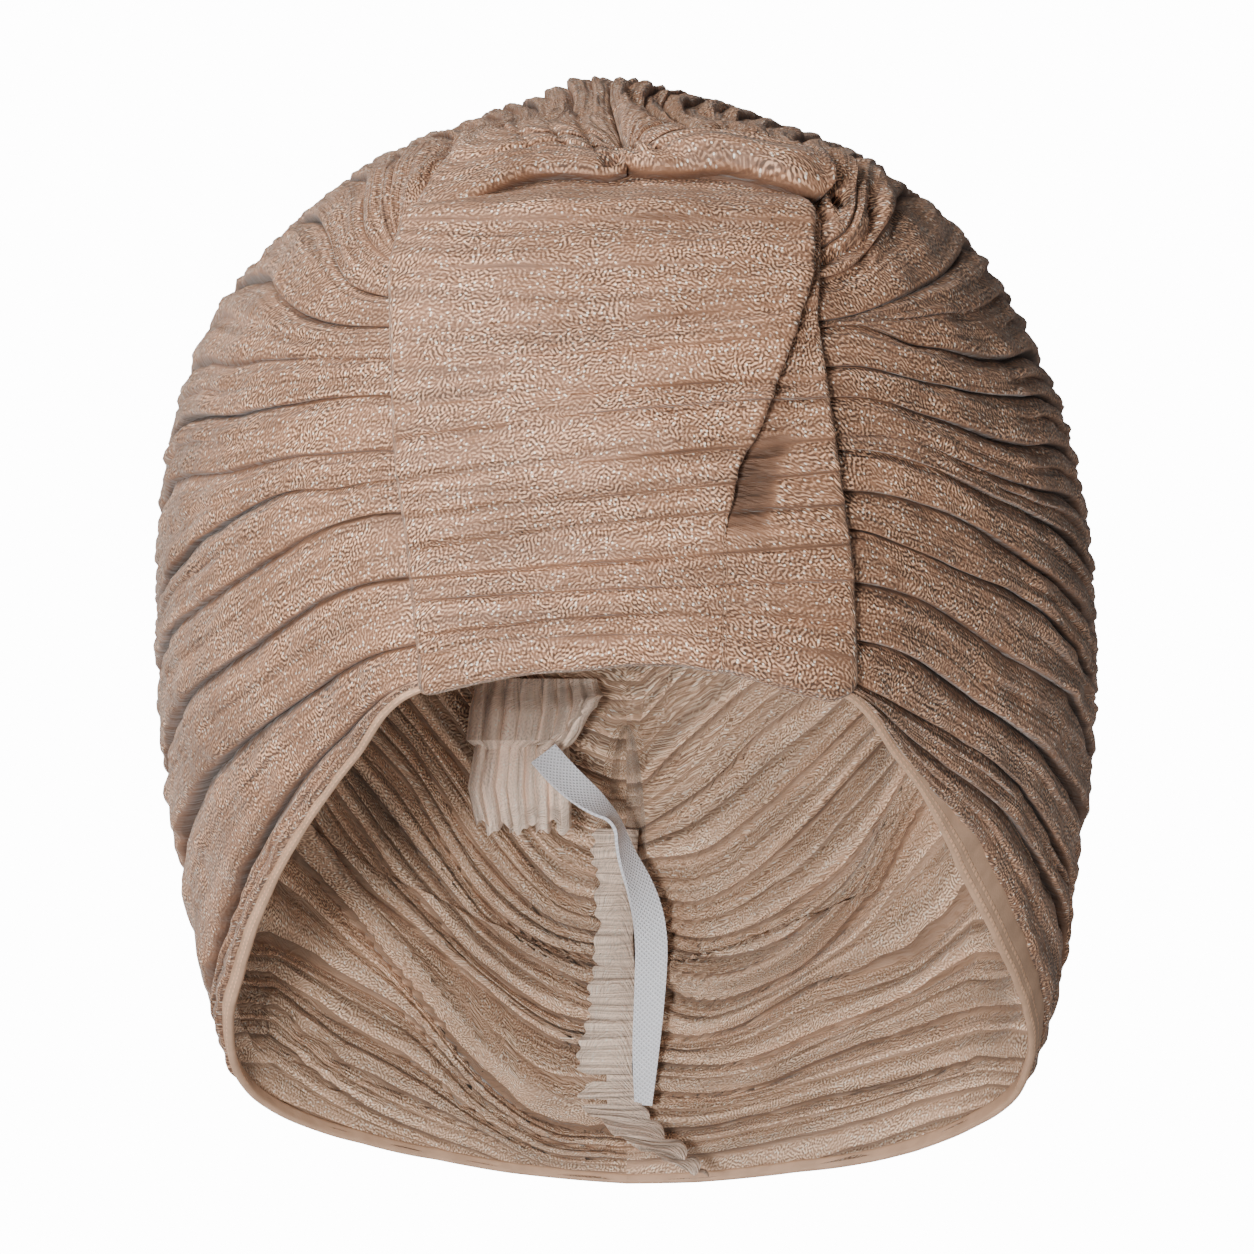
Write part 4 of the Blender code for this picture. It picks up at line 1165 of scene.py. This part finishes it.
def hem_place(side):
    """The turned edge under one half, from beside the band to the centre back."""
    form = FORMS[side]
    place = np.linspace(HEM_START, LAST, HEM_COLUMNS + 1)
    hem = np.interp(place, HEM_PLACES, HEM_SHOWN[side])
    pleat = form.section_value(place, "pleat")
    start = form.point(place, 0 * place)
    normal = form.normal(place, 0 * place)
    down = start - form.point(place, 0 * place + 0.03)
    down /= np.linalg.norm(down, axis=1)[:, None]
    share = np.linspace(0, 1, HEM_ROWS + 1)
    reach = -HEM_TUCK + (hem[:, None] + HEM_TUCK) * share[None, :]
    half = HEM_THICK * np.sqrt(np.clip(1 - np.abs(2 * share - 1) ** 5, 0, 1)) + 0.12
    inset = 0.35 * pleat + 0.55
    wave = 0.3 * wrinkles(start, 9.0, 21 + side)
    middle = start[:, None] + down[:, None] * reach[..., None]
    middle = middle - normal[:, None] * (inset + wave)[:, None, None]
    outer = middle + normal[:, None] * half[None, :, None]
    inner = middle - normal[:, None] * half[None, :, None]
    for points in (outer, inner):
        points[..., 0] = np.maximum(points[..., 0], SEAM_GAP)
        points[-1, :, 0] = SEAM_GAP
        points[..., 0] *= side
    cloth = cloth_coordinates(middle)
    stitched = np.where(place < STITCHES_END, 1.0, 0.0)
    across = stitched[:, None] * share[None, :]
    return both_layers(outer, inner, cloth, across, across)


ALLOWANCE_FOOT, ALLOWANCE_TOP = 0.02, 0.78  # where it starts and ends on the back seam
ALLOWANCE_ALONG, ALLOWANCE_ACROSS = 300, 14
ALLOWANCE_STANDOFF = 6.0  # from the form in to the row where it is sewn
FLARE_END = 0.26  # the share of the way up where the flaring foot ends
FOOT_FORWARD = 9.0  # how much nearer the face the foot lies
FRILL_HALF = 0.45  # half a frill's thickness
# Its centre line and width, by share of the way up. The foot bends over to the right.
ALLOWANCE_SHARES = (0, 0.07, 0.15, 0.26, 0.42, 1)
ALLOWANCE_CENTRES = (12, 6.5, -1, -4.6, -3.4, -2.2)
ALLOWANCE_WIDTHS = (8, 12, 14.5, 13, 10, 8.8)


def frill_layers(middle, cloth, strip, pleats):
    """The two faces of a frill, half its thickness before and behind its middle."""
    half = np.array([0, FRILL_HALF, 0])
    return both_layers(middle - half, middle + half, cloth, strip, pleats)


def allowance_place():
    """The gathered raw edge inside the back seam, lying over to the left, with its frill."""
    form = FORMS[-1]
    share = np.linspace(0, 1, ALLOWANCE_ALONG + 1)
    height = ALLOWANCE_FOOT + (ALLOWANCE_TOP - ALLOWANCE_FOOT) * share
    place = np.full(share.shape, float(LAST))
    root = form.point(place, height) - form.normal(place, height) * ALLOWANCE_STANDOFF
    flare = 1 - smooth(share / FLARE_END)
    t = np.linspace(0, 1, ALLOWANCE_ACROSS + 1)[None, :]
    centre = smooth_curve(ALLOWANCE_SHARES, ALLOWANCE_CENTRES, share)
    width = smooth_curve(ALLOWANCE_SHARES, ALLOWANCE_WIDTHS, share) + 0.9 * np.cos(11 * share + 1)
    fine = np.sin(2 * math.pi * 21 * share + 2.6 * np.sin(13 * share))
    coarse = np.sin(2 * math.pi * 7 * share + 0.8 + 0.9 * np.sin(9 * share))
    around = 2 * math.pi * 24 * share + 1.2 * np.sin(31 * share)
    ripple = (0.35 * fine + 0.8 * coarse)[:, None] * (0.25 + 0.75 * t)
    middle = np.repeat(root[:, None], t.shape[1], axis=1)
    middle[..., 0] += centre[:, None] + width[:, None] * (0.5 - t)
    middle[..., 0] += (0.45 * fine + 0.5 * coarse)[:, None] * t**1.5
    middle[..., 1] += -2.4 * np.sin(t * math.pi * 0.6) + ripple - 2.0 - FOOT_FORWARD * flare[:, None]
    loose = np.abs(2 * t - 1) ** 1.5
    lobes = np.sin(around[:, None] + 2.4 * t + 0.8 * np.sin(5 * t))
    middle[..., 0] += 1.3 * flare[:, None] * loose * np.sin(around[:, None] + 3 * t + 1.2)
    middle[..., 1] += flare[:, None] * (1.9 * lobes * (0.45 + 0.55 * loose) - 2.0 * t)
    flaring = 1.2 * loose * lobes + 3.5 * (t - 0.3)
    middle[..., 2] += 0.4 * coarse[:, None] * t + flare[:, None] * flaring
    # Painted shade in the hollows of the flaring foot's ruffles, passed on as the strip.
    in_fold = flare[:, None] * smooth((lobes - 0.1) / 0.8)
    gathers = np.repeat((26 * share)[:, None], t.shape[1], axis=1)
    return frill_layers(middle, cloth_coordinates(middle)[..., ::-1], in_fold, gathers)


# One row per level of the gathered end: how far it stands off the wall, its centre and
# width. The upper tier ends where out falls back.
EndRow = namedtuple("EndRow", "z out centre width")
END = (
    EndRow(-117, 0.0, -19.5, 26),
    EndRow(-124, 4.0, -19.5, 28),
    EndRow(-130, 7.0, -20.5, 27),
    EndRow(-131.5, 3.0, -22.5, 19),
    EndRow(-140, 5.5, -23, 21),
    EndRow(-148.5, 8.5, -22, 19),
)
END_ALONG, END_ACROSS = 60, 180
END_PLEATS = 8
END_STANDOFF = 6.8  # from the wall's form to the middle of the cloth


def end_place():
    """The frilled end of the cloth, in two tiers, sewn to the back wall at its top."""
    tree = form_tree(6, LAST)
    share = np.linspace(0, 1, END_ALONG + 1)
    knots = np.linspace(0, 1, len(END))
    rows = np.array(END, float)
    z, out, centre, width = (np.interp(share, knots, column) for column in rows.T)
    t = np.linspace(0, 1, END_ACROSS + 1)
    x = centre[:, None] + width[:, None] * (t[None, :] - 0.5)
    wall = np.empty(x.shape)
    for index in np.ndindex(x.shape):
        hit = tree.ray_cast(Vector((x[index], 0, z[index[0]])), Vector((0, 1, 0)))[0]
        wall[index] = hit.y
    phase = 2 * math.pi * END_PLEATS * t + 1.5 * np.sin(7 * t) + 0.6 * np.sin(19 * t)
    pleat = np.sin(phase) + 0.35 * np.sin(2 * phase + 1) + 0.25 * np.sin(0.5 * phase)
    fine = np.sin(2 * math.pi * 31 * t + 3 * share[:, None])
    grown = 0.3 + 0.7 * smooth(out / 4)
    depth = 1.5 + 0.5 * np.sin(11 * t)
    ripple = (depth * pleat)[None, :] * grown[:, None] + 0.22 * fine * grown[:, None]
    y = wall - END_STANDOFF - out[:, None] + ripple
    x = x + 1.1 * np.cos(phase)[None, :] * grown[:, None]
    frayed = np.sin(2 * math.pi * 19 * t) * np.sin(2 * math.pi * 5 * t)
    ragged = 1.1 * np.sin(phase * 0.5) + 0.9 * frayed
    slanted = 7.0 * smooth((t - 0.62) / 0.38)
    edge = smooth((share - 0.86) / 0.14) + 0.5 * np.exp(-(((share - 0.6) / 0.05) ** 2))
    upper_tier = smooth(share / 0.4) * (1 - smooth((share - 0.4) / 0.2))
    hang = edge[:, None] * ragged[None, :] + upper_tier[:, None] * slanted[None, :]
    middle = np.stack([x, y, z[:, None] + hang], axis=2)
    # Painted shade: the strip darkens the hollows of the frill's pleats.
    strip = grown[:, None] * smooth((pleat[None, :] - 0.35) / 0.9)
    pleats = np.repeat(phase[None, :] / (2 * math.pi), len(share), axis=0)
    return frill_layers(middle, cloth_coordinates(middle), strip, pleats)


# The elastic's path from the gathered end down to the nape; turn is the angle in degrees
# that its flat side has turned away from the face.
TapeRow = namedtuple("TapeRow", "x y z turn width")
TAPE = (
    TapeRow(-18.3, 79.0, -132, 20, 6.6),
    TapeRow(-13.0, 77.5, -138, 28, 7),
    TapeRow(-7.0, 77.0, -143, 45, 7),
    TapeRow(-2.0, 77.5, -146.5, 82, 7),
    TapeRow(-0.5, 79.0, -153.5, 62, 7),
    TapeRow(3.4, 79.5, -162, 35, 7),
    TapeRow(5.4, 79.5, -171, 15, 7),
    TapeRow(5.0, 80, -183, 0, 6.6),
    TapeRow(4.0, 81, -196, 0, 5.8),
    TapeRow(3.5, 82, -209, 0, 3.4),
)
TAPE_ALONG, TAPE_ACROSS = 200, 10
TAPE_HALF = 0.35  # half its thickness
TAPE_CUP = 0.25  # how far its middle stands proud of its edges


def tape_place():
    """The white elastic, a flat ribbon that turns over once near its top."""
    share = np.linspace(0, 1, TAPE_ALONG + 1)
    knots = np.linspace(0, 1, len(TAPE))
    rows = np.array(TAPE, float)
    blur = np.linspace(-0.05, 0.05, 9)
    shares = [np.clip(share + step, 0, 1) for step in blur]
    spread = [[np.interp(near, knots, column) for near in shares] for column in rows.T]
    values = np.array(spread).mean(axis=1)
    centre = values[:3].T
    ahead = np.gradient(centre, axis=0)
    ahead /= np.linalg.norm(ahead, axis=1)[:, None]
    side = np.cross(ahead, (0, 1, 0))
    side /= np.linalg.norm(side, axis=1)[:, None]
    face = np.cross(side, ahead)
    turn = np.radians(values[3])[:, None]
    flat = side * np.cos(turn) + face * np.sin(turn)
    out = np.cross(flat, ahead)
    t = np.linspace(-0.5, 0.5, TAPE_ACROSS + 1)
    middle = centre[:, None] + flat[:, None] * (values[4][:, None] * t[None, :])[..., None]
    cup = TAPE_CUP * (1 - (2 * t) ** 2)
    middle = middle + out[:, None] * cup[None, :, None]
    outer = middle + out[:, None] * TAPE_HALF
    inner = middle - out[:, None] * TAPE_HALF
    across = np.repeat((t + 0.5)[None, :], len(share), axis=0)
    return both_layers(outer, inner, cloth_coordinates(middle), across, across)


# The stage.

PHOTO_SIDE = 1254.0
PIXEL = 0.000201  # metres of the hat to a pixel of the front view
CAMERA_AWAY = EYE_DISTANCE * MM
SENSOR = 36.0
LIGHT_COLOUR = (1.0, 0.97, 0.93)
LIGHT_TARGET = (0, 0, -0.11)
FLOOR_HEIGHT = -0.32
FLOOR_HALF = 6.0


def make_camera():
    """A camera level with the middle of the front, framed as the photo is."""
    data = bpy.data.cameras.new("camera")
    data.sensor_fit = "HORIZONTAL"
    data.sensor_width = SENSOR
    data.lens = SENSOR * CAMERA_AWAY / (PHOTO_SIDE * PIXEL)
    data.shift_x = 0.5 / PHOTO_SIDE
    camera = bpy.data.objects.new("camera", data)
    camera.location = (0, -CAMERA_AWAY, EYE_HEIGHT * MM)
    camera.rotation_euler = (math.pi / 2, 0, 0)
    bpy.context.scene.collection.objects.link(camera)
    bpy.context.scene.camera = camera


def aim(item, target):
    """Turn a light so that it shines at a point."""
    direction = Vector(target) - item.location
    item.rotation_euler = direction.to_track_quat("-Z", "Y").to_euler()


def make_light(name, place, size, power):
    """A square light that shines at the hat."""
    data = bpy.data.lights.new(name, "AREA")
    data.shape = "SQUARE"
    data.size = size
    data.energy = power
    data.color = LIGHT_COLOUR
    light = bpy.data.objects.new(name, data)
    light.location = place
    aim(light, LIGHT_TARGET)
    bpy.context.scene.collection.objects.link(light)


def white_to_camera(tree, shader_socket, brightness, output):
    """Show plain white to the camera, and the given shader to everything else."""
    path = tree.nodes.new("ShaderNodeLightPath")
    is_world = output.bl_idname == "ShaderNodeOutputWorld"
    kind = "ShaderNodeBackground" if is_world else "ShaderNodeEmission"
    white = add_node(tree, kind, n0=(1, 1, 1, 1), n1=brightness)
    mix = tree.nodes.new("ShaderNodeMixShader")
    tree.links.new(path.outputs["Is Camera Ray"], mix.inputs[0])
    tree.links.new(shader_socket, mix.inputs[1])
    tree.links.new(white.outputs[0], mix.inputs[2])
    tree.links.new(mix.outputs[0], output.inputs["Surface"])


def make_world(settings):
    """Soft light from all round."""
    world = bpy.data.worlds.new("studio")
    world.use_nodes = True
    tree = world.node_tree
    soft = tree.nodes["Background"]
    soft.inputs[0].default_value = (*settings.fill_colour, 1)
    soft.inputs[1].default_value = settings.fill_strength
    output = tree.nodes["World Output"]
    white_to_camera(tree, soft.outputs[0], settings.backdrop_brightness, output)
    bpy.context.scene.world = world


def make_floor(settings):
    """A pale floor under the hat."""
    bm = bmesh.new()
    bmesh.ops.create_grid(bm, x_segments=4, y_segments=4, size=FLOOR_HALF)
    bmesh.ops.translate(bm, verts=bm.verts[:], vec=(0, 0, FLOOR_HEIGHT))
    mesh = bpy.data.meshes.new("studio_floor")
    bm.to_mesh(mesh)
    bm.free()
    material, tree, shader = new_material("pale_floor")
    shader.inputs["Base Color"].default_value = (0.8, 0.8, 0.8, 1)
    shader.inputs["Roughness"].default_value = 0.9
    output = tree.nodes["Material Output"]
    white_to_camera(tree, shader.outputs[0], settings.backdrop_brightness, output)
    mesh.materials.append(material)
    floor = bpy.data.objects.new("studio_floor", mesh)
    bpy.context.scene.collection.objects.link(floor)


# The add-on.


def colour_property(name, description, default):
    """A colour setting."""
    return FloatVectorProperty(
        name=name, description=description, subtype="COLOR", size=3, min=0, max=1, default=default
    )


def power_property(name, description, default):
    """A light's power in watts."""
    return FloatProperty(name=name, description=description, min=0, default=default, unit="POWER")


class TurbanCloth(bpy.types.PropertyGroup):
    """Colours of the cloth, the frills and the elastic."""

    ground: colour_property("Ground", "Darker tan between the strands", (0.275, 0.138, 0.079))
    strands: colour_property("Strands", "Pale metallic strands on the outside", (0.76, 0.46, 0.292))
    inside_ground: colour_property(
        "Inside ground", "Ground colour of the paler inside", (0.60, 0.375, 0.25)
    )
    inside_strands: colour_property(
        "Inside strands", "Strands on the paler inside", (0.98, 0.74, 0.54)
    )
    hem: colour_property("Hem", "Smooth turned edge", (0.57, 0.36, 0.24))
    raw: colour_property("Raw cloth", "Pale frills and seam allowance", (1.0, 0.79, 0.65))
    elastic: colour_property("Elastic", "Bluish white elastic tape", (0.88, 0.91, 1.0))
    bump: FloatProperty(
        name="Bump", description="How strongly the strands and crinkles stand out",
        min=0, max=2, default=0.8,
    )


class TurbanStage(bpy.types.PropertyGroup):
    """Light and backdrop."""

    key_power: power_property("Key power", "Main light from the front left", 27.0)
    top_power: power_property("Top power", "Light from over the left shoulder", 9.0)
    front_power: power_property("Front power", "Soft light from beside the camera", 14.0)
    fill_colour: colour_property(
        "Fill colour", "Colour of the light from all round", (1.0, 1.0, 1.0)
    )
    fill_strength: FloatProperty(
        name="Fill strength", description="Strength of the light from all round", min=0,
        default=0.14,
    )
    backdrop_brightness: FloatProperty(
        name="Backdrop brightness", description="How bright the backdrop looks", min=0,
        default=14.0,
    )


class TURBAN_OT_stage(bpy.types.Operator):
    """Add the camera, the lights and the pale floor"""

    bl_idname = "turban.stage"
    bl_label = "Stage"

    def execute(self, context):
        settings = context.scene.turban_stage
        make_camera()
        make_light("key_light", (-1.15, -1.1, 0.75), 0.6, settings.key_power)
        make_light("top_light", (-0.6, -0.9, 1.1), 0.8, settings.top_power)
        make_light("front_light", (-0.35, -1.2, -0.2), 0.2, settings.front_power)
        make_world(settings)
        make_floor(settings)
        return {"FINISHED"}


class TURBAN_OT_materials(bpy.types.Operator):
    """Make the knit, hem, raw cloth and elastic materials"""

    bl_idname = "turban.materials"
    bl_label = "Materials"

    def execute(self, context):
        cloth = context.scene.turban_cloth
        knit_strands_group()
        pleat_lines_group()
        outside = Knit(cloth.ground, cloth.strands, 0.4, 0.3, 0.0, cloth.bump)
        inside = Knit(cloth.inside_ground, cloth.inside_strands, 0.55, 0.45, 1.0, cloth.bump)
        raw = Knit(scaled(cloth.raw, 0.92), cloth.raw, 0.55, 0.8, 0.2, cloth.bump)
        pleated_material("pleated_knit", outside)
        pleated_material("pleated_knit_inside", inside)
        pleated_material("raw_frill", raw)
        stitched_hem_material("smooth_hem", cloth.hem, cloth.strands)
        elastic_material("knitted_elastic", cloth.elastic)
        return {"FINISHED"}


class TURBAN_OT_crown(bpy.types.Operator):
    """Drape the two pleated halves"""

    bl_idname = "turban.crown"
    bl_label = "Crown Halves"

    def execute(self, context):
        materials = [bpy.data.materials[name] for name in ("pleated_knit", "pleated_knit_inside")]
        rows = len(PLEAT_SAMPLES)
        for side, name in ((-1, "crown_left"), (1, "crown_right")):
            across = 2 * (len(VALLEYS[side]) - 1) * rows
            piece = cloth_sheet(
                "pleated_" + name, len(CROWN_COLUMNS) - 1, across, lambda: crown_place(side),
                materials,
            )
            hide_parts(name)
        return {"FINISHED"}


class TURBAN_OT_band(bpy.types.Operator):
    """Fold the wide band over the front"""

    bl_idname = "turban.band"
    bl_label = "Front Band"

    def execute(self, context):
        materials = [bpy.data.materials["pleated_knit"]]
        rows = len(band_rows()) - 1 + BAND_TURNS + BAND_RETURN_ROWS
        columns = len(band_columns()) - 1
        piece = cloth_sheet("folded_front_band", columns, rows, band_place, materials)
        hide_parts("front_band")
        return {"FINISHED"}


class TURBAN_OT_hems(bpy.types.Operator):
    """Turn the hem under both halves"""

    bl_idname = "turban.hems"
    bl_label = "Rim Hems"

    def execute(self, context):
        for side, name, area in ((-1, "rim_hem_left", 0.0012), (1, "rim_hem_right", 0.0016)):
            piece = cloth_sheet(
                "turned_" + name, HEM_COLUMNS, HEM_ROWS, lambda: hem_place(side),
                [bpy.data.materials["smooth_hem"]],
            )
            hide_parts(name)
        return {"FINISHED"}


class TURBAN_OT_inside(bpy.types.Operator):
    """Add the seam allowance, the gathered end and the elastic tape"""

    bl_idname = "turban.inside"
    bl_label = "Frills and Elastic"

    def execute(self, context):
        raw = [bpy.data.materials["raw_frill"]]
        piece = cloth_sheet(
            "frilled_seam_allowance", ALLOWANCE_ALONG, ALLOWANCE_ACROSS, allowance_place, raw
        )
        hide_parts("seam_allowance")
        piece = cloth_sheet("frilled_gathered_end", END_ALONG, END_ACROSS, end_place, raw)
        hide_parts("gathered_end")
        piece = cloth_sheet(
            "knitted_elastic_tape", TAPE_ALONG, TAPE_ACROSS, tape_place,
            [bpy.data.materials["knitted_elastic"]],
        )
        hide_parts("elastic_tape")
        return {"FINISHED"}


class TURBAN_PT_panel(bpy.types.Panel):
    """The hat's settings and steps"""

    bl_label = "Turban Hat"
    bl_idname = "TURBAN_PT_panel"
    bl_space_type = "VIEW_3D"
    bl_region_type = "UI"
    bl_category = "Turban Hat"

    def draw(self, context):
        for name in ("turban_cloth", "turban_stage"):
            settings = getattr(context.scene, name)
            box = self.layout.box()
            for key in settings.__annotations__:
                box.prop(settings, key)
        for operator in STEPS:
            self.layout.operator(operator.bl_idname)


STEPS = (
    TURBAN_OT_stage, TURBAN_OT_materials, TURBAN_OT_crown, TURBAN_OT_band, TURBAN_OT_hems,
    TURBAN_OT_inside,
)
CLASSES = (TurbanCloth, TurbanStage, *STEPS, TURBAN_PT_panel)


def register():
    """Add the classes and the scene's settings."""
    for item in CLASSES:
        bpy.utils.register_class(item)
    bpy.types.Scene.turban_cloth = PointerProperty(type=TurbanCloth)
    bpy.types.Scene.turban_stage = PointerProperty(type=TurbanStage)


def unregister():
    """Take the settings and the classes away again."""
    del bpy.types.Scene.turban_stage
    del bpy.types.Scene.turban_cloth
    for item in reversed(CLASSES):
        bpy.utils.unregister_class(item)


def main():
    """Dress the hat step by step."""
    register()
    bpy.ops.turban.stage()
    bpy.ops.turban.materials()
    bpy.ops.turban.crown()
    bpy.ops.turban.band()
    bpy.ops.turban.hems()
    bpy.ops.turban.inside()
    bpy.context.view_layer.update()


if __name__ == "__main__":
    main()
